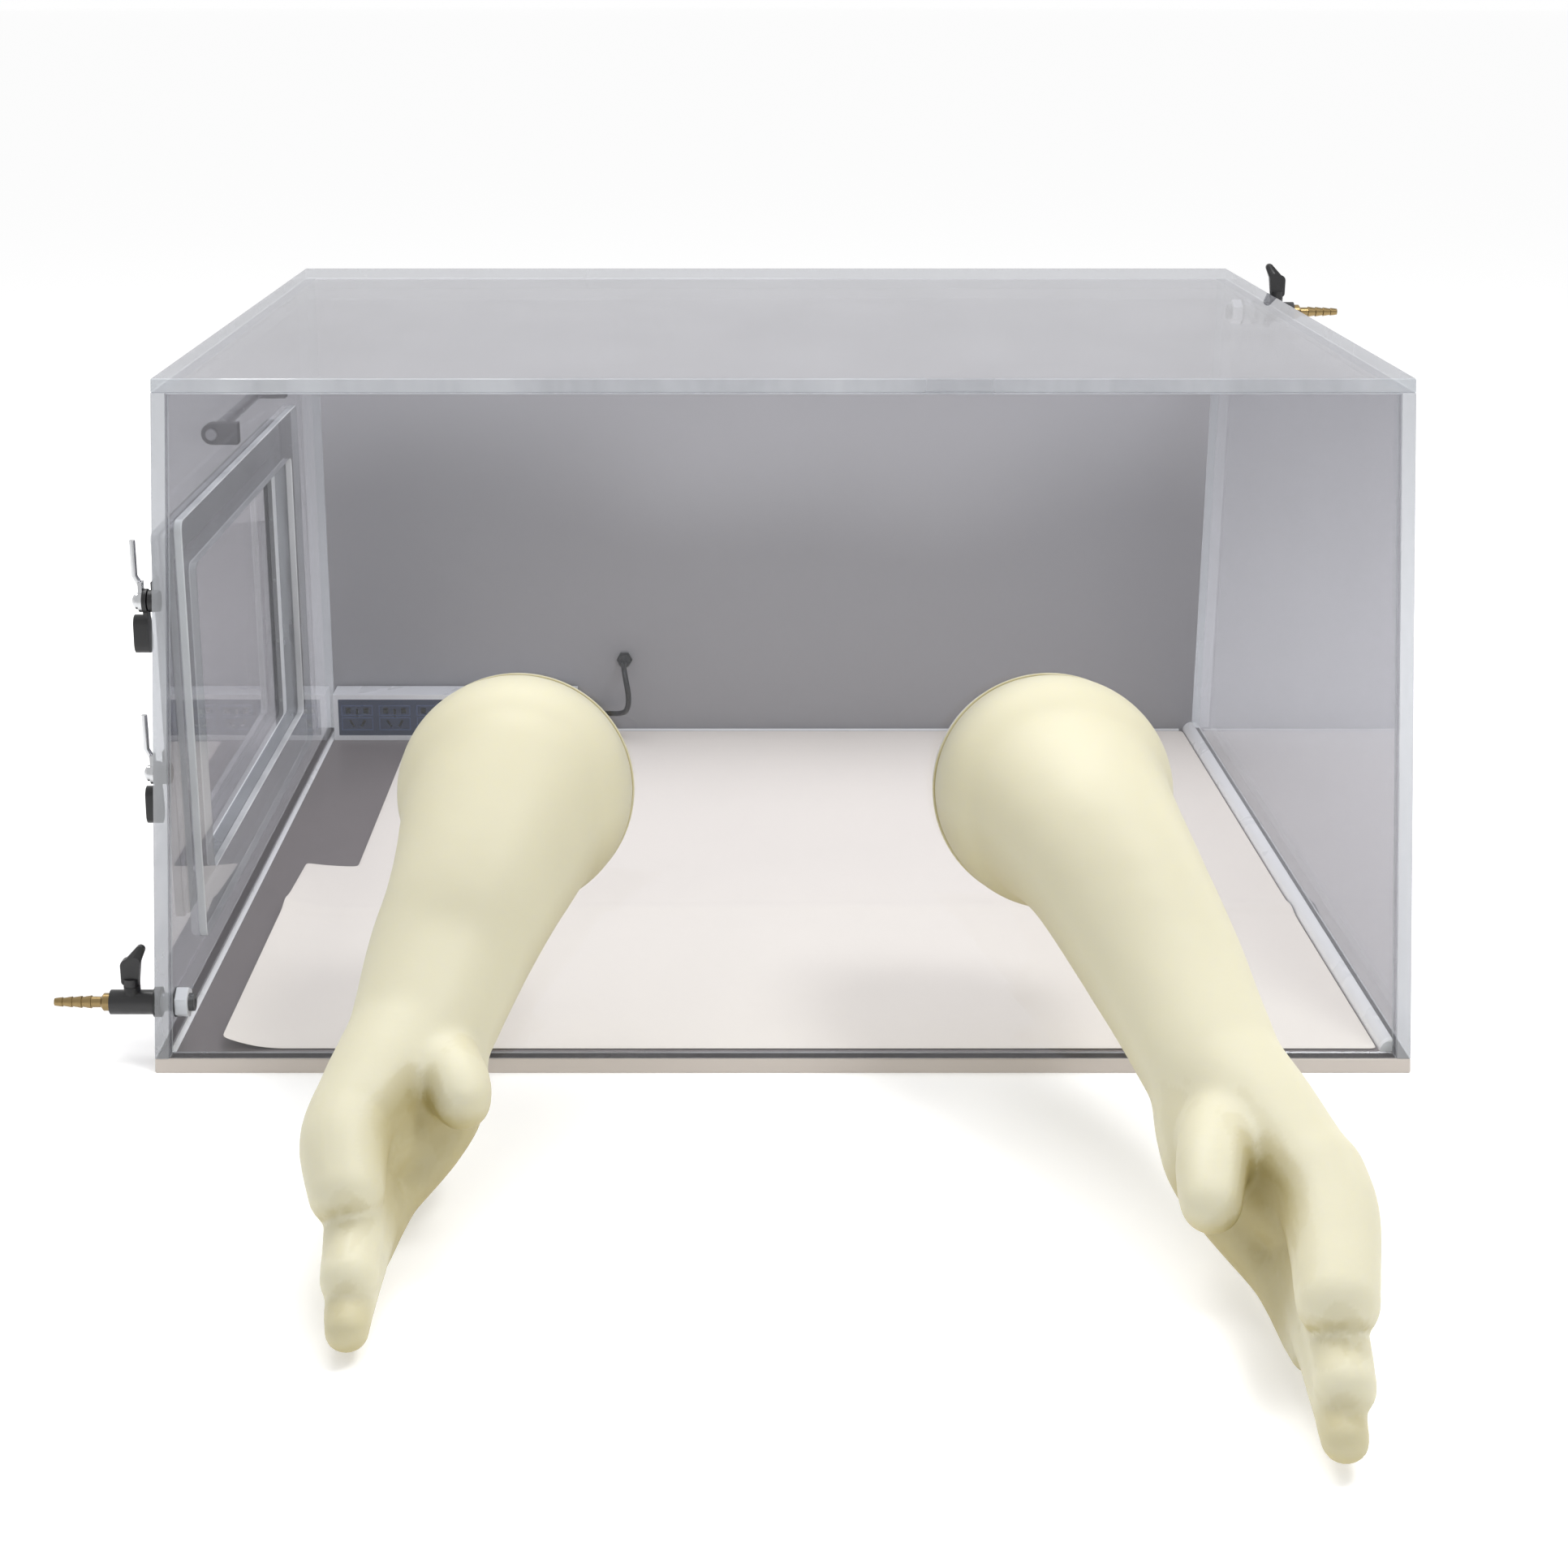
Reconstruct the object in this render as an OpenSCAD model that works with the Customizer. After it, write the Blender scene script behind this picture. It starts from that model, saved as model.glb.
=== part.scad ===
// Laboratory glove box: a bench-top chamber of bonded acrylic sheet with a leaning
// front, two long rubber gloves, a side door, two purge valves and a power strip inside.
// Millimetres. +X is to the user's right, +Y is away from the user, +Z is up.
// The origin is the centre of the base panel's underside.

/* [Chamber] */
// Outside width
box_w = 900; // [800:10:1000]
// Outside depth at the base
box_d = 800; // [760:10:900]
// Outside height
box_h = 480; // [460:10:520]
// How far the front's top edge is set back from its bottom edge
lean_set = 126; // [110:1:140]
// Thickness of every chamber panel
wall_t = 10; // [8:1:12]

/* [Glove ports] */
// Distance between the two port centres
port_gap = 376; // [340:1:420]
// Port centre above the front's bottom edge, along the slope
port_rise = 205; // [190:1:230]
// Outside diameter of the port collar
collar_d = 150; // [140:1:160]
// How far the collar stands out of the front panel
collar_out = 58; // [50:1:70]

/* [Side door] */
// Front edge of the door opening
door_y0 = -235; // [-250:1:-200]
// Rear edge of the door opening
door_y1 = 180; // [120:1:190]
// Bottom edge of the door opening
door_z0 = 95; // [90:1:120]
// Top edge of the door opening
door_z1 = 335; // [300:1:340]
// Thickness of the door panel
door_t = 6; // [5:1:8]
// Height of the upper swing latch's pivot
latch_upper_z = 321; // [300:1:325]
// Height of the lower swing latch's pivot
latch_lower_z = 190; // [150:1:210]

/* [Purge valves] */
// Left valve: distance along the depth
left_valve_y = -365; // [-366:1:-340]
// Left valve: height of its axis
left_valve_z = 40; // [36:1:44]
// Right valve: distance along the depth
right_valve_y = 270; // [200:5:330]
// Right valve: height of its axis
right_valve_z = 455; // [430:1:455]

/* [Power strip] */
// Length of the strip
strip_l = 246; // [230:1:250]
// Height of the strip
strip_h = 48; // [46:1:52]
// Depth of the strip
strip_d = 32; // [30:1:34]
// Number of socket outlets
outlets = 5; // [3:1:5]

/* [Hidden] */

$fn = 64;
soft_fn = 24;           // facets round a hull's own balls
cut = 1;                // how far a cutter runs past a face

half_w = box_w / 2;
half_d = box_d / 2;
lean = atan(lean_set / box_h);
skew_t = wall_t / cos(lean);        // front panel's thickness measured level
top_z = box_h - wall_t;
in_x = half_w - wall_t;             // inner face of a side panel
in_y = half_d - wall_t;             // inner face of the rear panel

// Glove ports
collar_r = collar_d / 2;
collar_bore_r = collar_r - 6;
port_z = port_rise * cos(lean);
port_fit = 0.2;                     // bonded gap round a collar
shoulder_t = 6;
shoulder_r = collar_r + 5;
gasket_t = 1;
lock_t = 8;
ring_r = 2.6;                       // O-ring section
groove_r = collar_r - 2;
groove_w = 6;
grooves = [28, 44];                 // O-ring grooves, out from the panel
cuff_in = collar_r + 3.6;
cuff_out = collar_r + 6.5;
cuff_from = 10;
cuff_end = 66;

// Each glove: sleeve and hand as balls, centre then radius
sleeve_l = [[[-210, -480, 164], 58], [[-224, -510, 136], 54], [[-238, -570, 104], 45]];
sleeve_r = [[[208, -480, 201], 60], [[239, -560, 146], 50], [[258, -632, 111], 43]];
palm_l = [[[-266, -660, 86], 28], [[-226, -592, 68], 32], [[-248, -660, 28], 16]];
palm_r = [[[299, -752, 88], 28], [[252, -680, 72], 32], [[276, -745, 29], 16]];
index_l = [[[-266, -662, 84], 25], [[-264, -700, 62], 17]];
index_r = [[[299, -754, 86], 25], [[286, -828, 62], 17]];
fingers_l = [[[-262, -672, 62], 22], [[-257, -748, 40], 15], [[-255, -774, 26], 14],
             [[-248, -662, 29], 15], [[-250, -738, 18], 13]];
fingers_r = [[[294, -762, 64], 22], [[285, -862, 42], 15], [[280, -884, 27], 15],
             [[276, -748, 30], 15], [[276, -835, 19], 13]];
thumb_l = [[[-214, -588, 110], 25], [[-199, -648, 107], 16]];
thumb_r = [[[238, -690, 116], 24], [[229, -765, 106], 16]];

// Door, its gasket and its continuous hinge
gap_t = 4;                          // gasket thickness
door_in = -half_w - gap_t;          // door panel's inner face
door_out = door_in - door_t;        // door panel's outer face
lap = 30;                           // door's overlap on the wall, front, top and bottom
door_back = door_y1 + 34;
frame_w = 42;
frame_t = 6;
hinge_x = -half_w - 6;
hinge_y = door_y1 + 42;
knuckle_r = 5;
pin_r = 1.5;
pin_run = 0.05;                     // running clearance of the door's knuckles
leaf_t = 2;
leaf_wall_w = 57;
leaf_door_w = 30;
knuckles = 9;
knuckle_gap = 0.4;
hinge_z0 = door_z0 - 25;
hinge_l = door_z1 - door_z0 + 50;
pitch = hinge_l / knuckles;
screw_r = 1.6;
screw_head_r = 3.4;
screw_n = 5;

// Swing latches
latch_y = -290;
latch_post_r = 8;
latch_post_h = 8;
latch_stud_r = 3;
rod_r = 2.2;
rod_reach = 45;
latch_zs = [latch_upper_z, latch_lower_z];

// Side handle
handle_z = 385;
handle_ys = [30, 262];
handle_x = -half_w - 22;
handle_r = 5;

// Purge valves, in their own frame: +X out of the wall, wall's outer face at 0
shank_r = 6.5;
body_r = 9;
body_l = 37;
ball_x = 21;
ball_r = 6.5;
ball_run = 0.08;
flow_r = 3;
stem_r = 2.5;
stem_top = 18;
barb_l = 41;
valve_nut_r = 11.5;

// Power strip
strip_x1 = -190;
strip_x0 = strip_x1 - strip_l;
strip_y1 = in_y - 2;
strip_y0 = strip_y1 - strip_d;
strip_z0 = wall_t;
shell_t = 2.5;
rim = 5;
face_t = 3;
rocker_x = strip_x1 - 20;
rocker_z = strip_z0 + strip_h / 2;
rocker_y = strip_y0 + 5;
outlet_pitch = 38;

// Supply lead: from the strip's strain relief to the gland on the rear panel
lead_r = 2.75;
lead_sides = 10;
lead_steps = 3;
relief_l = 20;
gland_x = -142;
gland_z = 86;
gland_nose = 18;
gland_r = 6;
lead_route = [[-170, 372, 34], [-158, 371, 34], [-147, 364, 36], [-140, 353, 42],
              [-137, 345, 52], [-137, 342, 64], [-139, 345, 75], [-141, 354, 83],
              [-142, 364, 86], [-142, 372, 86]];

// Power inlet on the rear panel's outside
inlet_w = 52;
inlet_h = 62;
inlet_d = 34;
recess = [28, 20, 18];

// Floor liner
liner_t = 1.5;
curl_r = 110;
curl_a = 24;

// Level of the front panel's outer face at height z
function front_y(z) = -half_d + z * lean_set / box_h;

// An outline in the YZ plane, made solid from x0 to x1
module yz_slab(x0, x1) {
    translate([x0, 0, 0]) rotate([90, 0, 90]) linear_extrude(x1 - x0) children();
}

// A rectangle from lo to hi with round corners
module round_rect(lo, hi, r) {
    translate([lo[0] + r, lo[1]]) square([hi[0] - lo[0] - 2 * r, hi[1] - lo[1]]);
    translate([lo[0], lo[1] + r]) square([hi[0] - lo[0], hi[1] - lo[1] - 2 * r]);
    for (x = [lo[0] + r, hi[0] - r], y = [lo[1] + r, hi[1] - r]) translate([x, y]) circle(r);
}

// Places a child at a glove port, local +Z straight out of the front panel
module at_port(side) {
    translate([side * port_gap / 2, front_y(port_z), port_z]) rotate([90 - lean, 0, 0]) children();
}

// A tube about local Z from z0 to z1
module ring(r0, r1, z0, z1) {
    translate([0, 0, z0]) difference() {
        cylinder(r = r1, h = z1 - z0);
        translate([0, 0, -cut]) cylinder(r = r0, h = z1 - z0 + 2 * cut);
    }
}

// A cylinder along +X from x0 to x1 about the line y, z
module bar_x(x0, x1, r, y = 0, z = 0) {
    translate([x0, y, z]) rotate([0, 90, 0]) cylinder(r = r, h = x1 - x0);
}

module ball(b) { translate(b[0]) sphere(r = b[1], $fn = soft_fn); }

module side_outline() {
    polygon([[front_y(wall_t), wall_t], [half_d, wall_t], [half_d, top_z], [front_y(top_z), top_z]]);
}

// ---- Chamber panels ----

module base_panel() {
    color("dimgray") yz_slab(-half_w, half_w)
        polygon([[-half_d, 0], [half_d, 0], [half_d, wall_t], [front_y(wall_t), wall_t]]);
}

module top_panel() {
    color([0.8, 0.82, 0.85, 0.4]) yz_slab(-half_w, half_w)
        polygon([[front_y(top_z), top_z], [half_d, top_z], [half_d, box_h], [front_y(box_h), box_h]]);
}

module front_panel() {
    color([0.85, 0.87, 0.9, 0.3]) difference() {
        yz_slab(-in_x, in_x) polygon([
            [front_y(wall_t), wall_t], [front_y(wall_t) + skew_t, wall_t],
            [front_y(top_z) + skew_t, top_z], [front_y(top_z), top_z]]);
        for (side = [-1, 1]) at_port(side)
            translate([0, 0, -2 * wall_t]) cylinder(r = collar_r + port_fit, h = 4 * wall_t);
    }
}

module rear_panel() {
    color([0.62, 0.62, 0.65]) difference() {
        translate([-in_x, in_y, wall_t]) cube([2 * in_x, wall_t, top_z - wall_t]);
        translate([gland_x, in_y - cut, gland_z]) rotate([-90, 0, 0])
            cylinder(r = gland_r - 0.3, h = wall_t + 2 * cut);
        for (dx = [-20, 20], dz = [-25, 25]) translate([gland_x + dx, half_d - 8, gland_z + dz])
            rotate([-90, 0, 0]) cylinder(r = screw_r + 0.1, h = 8 + cut);
    }
}

module left_panel() {
    color([0.8, 0.8, 0.83, 0.4]) difference() {
        yz_slab(-half_w, -in_x) side_outline();
        yz_slab(-half_w - cut, -in_x + cut) round_rect([door_y0, door_z0], [door_y1, door_z1], 6);
        bar_x(-half_w - cut, -in_x + cut, shank_r + 0.3, left_valve_y, left_valve_z);
        hinge_screws_at(hinge_y + 6 + leaf_wall_w / 2)
            translate([-half_w - cut, 0, 0]) bar_x(0, 8 + cut, screw_r + 0.1);
    }
}

module right_panel() {
    color([0.8, 0.8, 0.83, 0.4]) difference() {
        yz_slab(in_x, half_w) side_outline();
        bar_x(in_x - cut, half_w + cut, shank_r + 0.3, right_valve_y, right_valve_z);
    }
}

// A quarter-round bead of silicone in the corner at the origin, opening to +X and +Z
module bead(r, l) {
    rotate([90, 0, 0]) linear_extrude(l, center = true) difference() {
        square(r);
        translate([r, r]) circle(r);
    }
}

module floor_bead() {
    front = front_y(wall_t) + skew_t + 2;
    color("white") translate([in_x, (in_y + front) / 2, wall_t]) rotate([0, -90, 0]) difference() {
        rotate([90, 0, 0]) cylinder(r = 9, h = in_y - front, center = true, $fn = 48);
        translate([-10, -half_d, -10]) cube([10, box_d, 20]);
        translate([-cut, -half_d, -10]) cube([20, box_d, 10]);
    }
}

module thin_seal_beads() {
    front = front_y(wall_t) + skew_t;
    len_y = in_y - front;
    color("gainsboro") {
        translate([-in_x, (in_y + front) / 2, wall_t]) bead(3, len_y);
        translate([0, in_y, wall_t]) rotate([0, 0, -90]) bead(1.8, 2 * in_x - 26);
    }
}

module floor_liner() {
    edge_f = front_y(wall_t) + skew_t + 5;
    curl_x = -360;
    step_y = -15;
    color("whitesmoke") {
        translate([0, 0, wall_t]) linear_extrude(liner_t) polygon([
            [curl_x, edge_f], [in_x - 10, edge_f], [in_x - 10, in_y - 5],
            [strip_x1 + 24, in_y - 5], [strip_x1 + 24, strip_y0 - 6], [curl_x, strip_y0 - 6]]);
        translate([curl_x, step_y, wall_t + curl_r + liner_t]) rotate([90, 0, 0])
            linear_extrude(step_y - edge_f) difference() {
                intersection() {
                    circle(curl_r + liner_t, $fn = 180);
                    polygon([[0, 0], [0, -2 * curl_r],
                             [-2 * curl_r * sin(curl_a), -2 * curl_r * cos(curl_a)]]);
                }
                circle(curl_r, $fn = 180);
            }
    }
}

module door_frame() {
    color([0.9, 0.9, 0.95, 0.5]) yz_slab(-in_x, -in_x + frame_t) difference() {
        round_rect([door_y0 - frame_w, door_z0 - frame_w], [door_y1 + frame_w, door_z1 + frame_w], 8);
        round_rect([door_y0, door_z0], [door_y1, door_z1], 6);
    }
}

// ---- Glove ports and gloves ----

module port_collar(side) {
    color("whitesmoke") at_port(side) difference() {
        union() {
            ring(collar_bore_r, collar_r, -wall_t - gasket_t - shoulder_t, collar_out);
            ring(collar_bore_r, shoulder_r, -wall_t - gasket_t - shoulder_t, -wall_t - gasket_t);
        }
        for (s = grooves) ring(groove_r, collar_r + cut, s - groove_w / 2, s + groove_w / 2);
    }
}

module port_collar_left() { port_collar(-1); }
module port_collar_right() { port_collar(1); }

module collar_lock_rings() {
    color("white") for (side = [-1, 1]) at_port(side)
        ring(collar_r + port_fit, shoulder_r, 0, lock_t);
}

module collar_gaskets() {
    color("black") for (side = [-1, 1]) at_port(side)
        ring(collar_r + port_fit, shoulder_r, -wall_t - gasket_t, -wall_t);
}

module cuff_o_rings() {
    color("black") for (side = [-1, 1], s = grooves) at_port(side)
        translate([0, 0, s]) rotate_extrude() translate([groove_r + ring_r, 0]) circle(ring_r);
}

module glove(side, sleeve, palm, index, fingers, thumb) {
    color("blanchedalmond") {
        at_port(side) ring(cuff_in, cuff_out, cuff_from, collar_out + 2);
        at_port(side) translate([0, 0, collar_out + 1]) cylinder(r = cuff_out, h = 5);
        hull() {
            at_port(side) translate([0, 0, collar_out + 5])
                cylinder(r = cuff_out - 3, h = cuff_end - collar_out - 5, $fn = soft_fn);
            ball(sleeve[0]);
        }
        for (i = [0, 1]) hull() {
            ball(sleeve[i]);
            ball(sleeve[i + 1]);
        }
        hull() {
            ball(sleeve[2]);
            for (b = palm) ball(b);
        }
        hull() for (b = index) ball(b);
        hull() for (b = fingers) ball(b);
        hull() for (b = thumb) ball(b);
    }
}

module glove_left() { glove(-1, sleeve_l, palm_l, index_l, fingers_l, thumb_l); }
module glove_right() { glove(1, sleeve_r, palm_r, index_r, fingers_r, thumb_r); }

// ---- Side door ----

module hinge_screws_at(y) {
    step = hinge_l / screw_n;
    for (i = [0 : screw_n - 1]) translate([0, y, hinge_z0 + (i + 0.5) * step]) children();
}

module door_panel() {
    color([0.85, 0.87, 0.9, 0.3]) difference() {
        yz_slab(door_out, door_in)
            round_rect([door_y0 - lap, door_z0 - lap], [door_back, door_z1 + lap], 5);
        hinge_screws_at(hinge_y - 6 - leaf_door_w / 2)
            translate([door_out - cut, 0, 0]) bar_x(0, 5 + cut, screw_r + 0.1);
    }
}

module door_gasket() {
    color("lightgray") yz_slab(door_in, -half_w) difference() {
        round_rect([door_y0 - lap + 2, door_z0 - lap + 2], [door_back - 2, door_z1 + lap - 2], 5);
        round_rect([door_y0 - 4, door_z0 - 4], [door_y1 + 4, door_z1 + 4], 5);
    }
}

module door_strikes() {
    color("black") for (z = latch_zs) translate([door_out - 3.5, latch_y + rod_reach - 14, z - 8])
        difference() {
            cube([3.5, 14, 16]);
            translate([-2, -cut, 16]) rotate([0, 45, 0]) cube([3, 14 + 2 * cut, 3]);
        }
}

// Knuckles of one leaf: every second one, counted from first
module knuckles_of(first, bore_r, leaf_x, leaf_side) {
    for (i = [first : 2 : knuckles - 1]) {
        z0 = hinge_z0 + i * pitch + knuckle_gap / 2;
        h = pitch - knuckle_gap;
        difference() {
            union() {
                translate([hinge_x, hinge_y, z0]) cylinder(r = knuckle_r, h = h);
                translate([leaf_x, hinge_y + (leaf_side > 0 ? 0 : -6.5), z0]) cube([leaf_t, 6.5, h]);
            }
            translate([hinge_x, hinge_y, z0 - cut]) cylinder(r = bore_r, h = h + 2 * cut);
        }
    }
}

module hinge_leaf_wall() {
    color([0.08, 0.08, 0.08]) {
        knuckles_of(0, pin_r, -half_w - leaf_t, 1);
        difference() {
            translate([-half_w - leaf_t, hinge_y + 6, hinge_z0]) cube([leaf_t, leaf_wall_w, hinge_l]);
            hinge_screws_at(hinge_y + 6 + leaf_wall_w / 2)
                translate([-half_w - leaf_t - cut, 0, 0]) bar_x(0, leaf_t + 2 * cut, screw_r + 0.1);
        }
    }
}

module hinge_leaf_door() {
    color([0.08, 0.08, 0.08]) {
        knuckles_of(1, pin_r + pin_run, door_out - leaf_t, -1);
        difference() {
            translate([door_out - leaf_t, hinge_y - 6 - leaf_door_w, hinge_z0])
                cube([leaf_t, leaf_door_w, hinge_l]);
            hinge_screws_at(hinge_y - 6 - leaf_door_w / 2)
                translate([door_out - leaf_t - cut, 0, 0]) bar_x(0, leaf_t + 2 * cut, screw_r + 0.1);
        }
    }
}

module hinge_pin() {
    color("silver") translate([hinge_x, hinge_y, hinge_z0 - 1.5]) {
        cylinder(r = pin_r, h = hinge_l + 3);
        for (z = [0, hinge_l + 1.5]) translate([0, 0, z]) cylinder(r = 3, h = 1.5);
    }
}

// A pan-head screw pointing along +X, its head's seat at the origin
module screw(shank) {
    difference() {
        union() {
            bar_x(-1.8, 0, screw_head_r);
            bar_x(-0.1, shank, screw_r);
        }
        for (a = [0, 90]) rotate([a, 0, 0]) translate([-1.9, -2, -0.4]) cube([1, 4, 0.8]);
    }
}

module hinge_screws_wall() {
    color("silver") hinge_screws_at(hinge_y + 6 + leaf_wall_w / 2)
        translate([-half_w - leaf_t, 0, 0]) screw(9);
}

module hinge_screws_door() {
    color("silver") hinge_screws_at(hinge_y - 6 - leaf_door_w / 2)
        translate([door_out - leaf_t, 0, 0]) screw(6);
}

// ---- Swing latches: a rod arm over the door, a grip opposite it ----

module latch_posts() {
    color("black") for (z = latch_zs) {
        bar_x(-half_w - latch_post_h, -half_w, latch_post_r, latch_y, z);
        bar_x(-half_w - 16, -half_w - latch_post_h + 0.1, latch_stud_r, latch_y, z);
    }
}

module latch_cap_nuts() {
    color("silver") for (z = latch_zs) difference() {
        translate([0, latch_y, z]) {
            bar_x(-half_w - 17, -half_w - 15, 6);
            intersection() {
                bar_x(-half_w - 20, -half_w - 16.9, 6);
                translate([-half_w - 13, 0, 0]) sphere(r = 7);
            }
        }
        bar_x(-half_w - 16.2, -half_w - 14, latch_stud_r + 0.05, latch_y, z);
    }
}

module latch_arm(z) {
    route = [[-half_w - 13, latch_y, z + 11.5], [-half_w - 17, latch_y, z + 19],
             [-half_w - 17, latch_y, z + rod_reach]];
    color("silver") difference() {
        union() {
            bar_x(-half_w - 14.5, -half_w - 11.6, latch_post_r, latch_y, z);
            translate([-half_w - 14.5, latch_y - 4, z + 4.5]) cube([2.9, 8, 10]);
            swept_tube(route, rod_r, 16, [-4, 0, 7.5], [0, 0, 1]);
        }
        bar_x(-half_w - 15.5, -half_w - 10, latch_stud_r + 0.06, latch_y, z);
    }
}

module latch_grip(z) {
    color("black") difference() {
        union() {
            bar_x(-half_w - 11.6, -half_w - 8.3, latch_post_r + 1, latch_y, z);
            hull() for (d = [6, 26]) bar_x(-half_w - 11.6, -half_w - 8.3, 5, latch_y, z - d);
            hull() for (d = [17, 31]) bar_x(-half_w - 19, -half_w - 8.3, 6 + d / 20, latch_y, z - d);
        }
        bar_x(-half_w - 20, -half_w - 7, latch_stud_r + 0.06, latch_y, z);
    }
}

module latch_arm_upper() { latch_arm(latch_upper_z); }
module latch_grip_upper() { latch_grip(latch_upper_z); }
module latch_arm_lower() { latch_arm(latch_lower_z); }
module latch_grip_lower() { latch_grip(latch_lower_z); }

// ---- Side handle ----

module handle_posts() {
    color("black") for (y = handle_ys) difference() {
        union() {
            translate([handle_x, y - 6, handle_z - 9]) cube([-half_w - handle_x, 12, 18]);
            translate([handle_x, y - 6, handle_z]) rotate([-90, 0, 0]) cylinder(r = 9, h = 12);
        }
        translate([handle_x, y - 6 - cut, handle_z]) rotate([-90, 0, 0])
            cylinder(r = handle_r, h = 12 + 2 * cut);
    }
}

module handle_bar() {
    color("lightgray") translate([handle_x, handle_ys[0] - 8, handle_z]) rotate([-90, 0, 0])
        cylinder(r = handle_r, h = handle_ys[1] - handle_ys[0] + 16);
}

// ---- Purge valves ----

module place_left() { translate([-half_w, left_valve_y, left_valve_z]) mirror([1, 0, 0]) children(); }
module place_right() { translate([half_w, right_valve_y, right_valve_z]) children(); }

module valve_body() {
    color([0.1, 0.1, 0.1]) difference() {
        union() {
            bar_x(1, 5, 11);
            bar_x(4, body_l, body_r);
            bar_x(-24, 2, shank_r);
            translate([ball_x, 0, 0]) cylinder(r = 6, h = 13);
        }
        bar_x(-25, 26, flow_r);
        bar_x(25, body_l + cut, 4.1);
        translate([ball_x, 0, 0]) sphere(r = ball_r + ball_run);
        translate([ball_x, 0, 0]) cylinder(r = stem_r + ball_run, h = 20);
    }
}

module valve_barb() {
    base = body_l;
    color("darkgoldenrod") translate([base, 0, 0]) rotate([0, 90, 0]) rotate_extrude() polygon([
        [2, -9], [4, -9], [4, 0], [6.5, 0], [6.5, 5], [4, 7], [4, 14],
        [4.8, 14], [3.6, 21], [4.5, 21], [3.3, 28], [4.1, 28], [2.9, 35], [3.6, 35],
        [2.8, barb_l], [2, barb_l]]);
}

module valve_ball() {
    color("silver") difference() {
        translate([ball_x, 0, 0]) {
            sphere(r = ball_r);
            cylinder(r = stem_r, h = stem_top);
        }
        bar_x(ball_x - 10, ball_x + 10, flow_r);
    }
}

module valve_lever() {
    color("black") difference() {
        union() {
            translate([ball_x, 0, 13.3]) cylinder(r = 6, h = 5.7);
            hull() {
                translate([ball_x - 3, 3, 16]) rotate([90, 0, 0]) cylinder(r = 2.5, h = 6, $fn = 32);
                translate([ball_x + 4, 3, 17]) rotate([90, 0, 0]) cylinder(r = 3, h = 6, $fn = 32);
                translate([ball_x + 2, 3, 29]) rotate([90, 0, 0]) cylinder(r = 5, h = 6, $fn = 32);
                translate([ball_x - 4, 3, 32]) rotate([90, 0, 0]) cylinder(r = 3.5, h = 6, $fn = 32);
            }
            hull() {
                translate([ball_x - 1, 3, 30]) rotate([90, 0, 0]) cylinder(r = 5.5, h = 6, $fn = 32);
                translate([ball_x - 8, 2, 41]) rotate([90, 0, 0]) cylinder(r = 3.2, h = 4, $fn = 32);
            }
        }
        translate([ball_x, 0, 12]) cylinder(r = stem_r, h = stem_top - 12);
    }
}

module valve_nut() {
    color("whitesmoke") difference() {
        translate([-wall_t - 10, 0, 0]) rotate([0, 90, 0]) cylinder(r = valve_nut_r, h = 9, $fn = 6);
        bar_x(-wall_t - 11, -wall_t, shank_r + 0.05);
    }
}

module valve_washer() {
    color("dimgray") {
        translate([-wall_t - 1, 0, 0]) rotate([0, 90, 0]) ring(shank_r + 0.2, 11, 0, 1);
        rotate([0, 90, 0]) ring(shank_r + 0.2, 11, 0, 1);
    }
}

module left_valve_body() { place_left() valve_body(); }
module left_valve_barb() { place_left() valve_barb(); }
module left_valve_ball() { place_left() valve_ball(); }
module left_valve_lever() { place_left() valve_lever(); }
module left_valve_nut() { place_left() valve_nut(); }
module left_valve_washer() { place_left() valve_washer(); }
module right_valve_body() { place_right() valve_body(); }
module right_valve_barb() { place_right() valve_barb(); }
module right_valve_ball() { place_right() valve_ball(); }
module right_valve_lever() { place_right() valve_lever(); }
module right_valve_nut() { place_right() valve_nut(); }
module right_valve_washer() { place_right() valve_washer(); }

// ---- Power strip, its lead and the inlet ----

module strip_shell() {
    ribs = [for (i = [0 : outlets]) strip_x0 + 10 + i * outlet_pitch];
    color("white") difference() {
        translate([strip_x0, strip_y0, strip_z0]) cube([strip_l, strip_d, strip_h]);
        difference() {
            translate([strip_x0 + shell_t, strip_y0 + face_t, strip_z0 + shell_t])
                cube([strip_l - 2 * shell_t, strip_d - face_t - shell_t, strip_h - 2 * shell_t]);
            for (x = ribs, z = [strip_z0 + 12, strip_z0 + strip_h - 20])
                translate([x - 1, strip_y0 + 14, z]) cube([2, strip_d, 8]);
        }
        translate([strip_x0 + rim, strip_y0 - cut, strip_z0 + rim])
            cube([strip_l - 2 * rim, face_t + 2 * cut, strip_h - 2 * rim]);
    }
}

module outlet_slots() {
    for (x = [-9, 9]) translate([x - 2.5, 0, 6]) cube([5, 20, 6]);
    for (x = [-6, 6]) translate([x, 0, -4]) rotate([0, x * 5, 0]) translate([-1.2, 0, -4.5]) cube([2.4, 20, 8]);
    translate([-1.2, 0, 2]) cube([2.4, 20, 9]);
}

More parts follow.
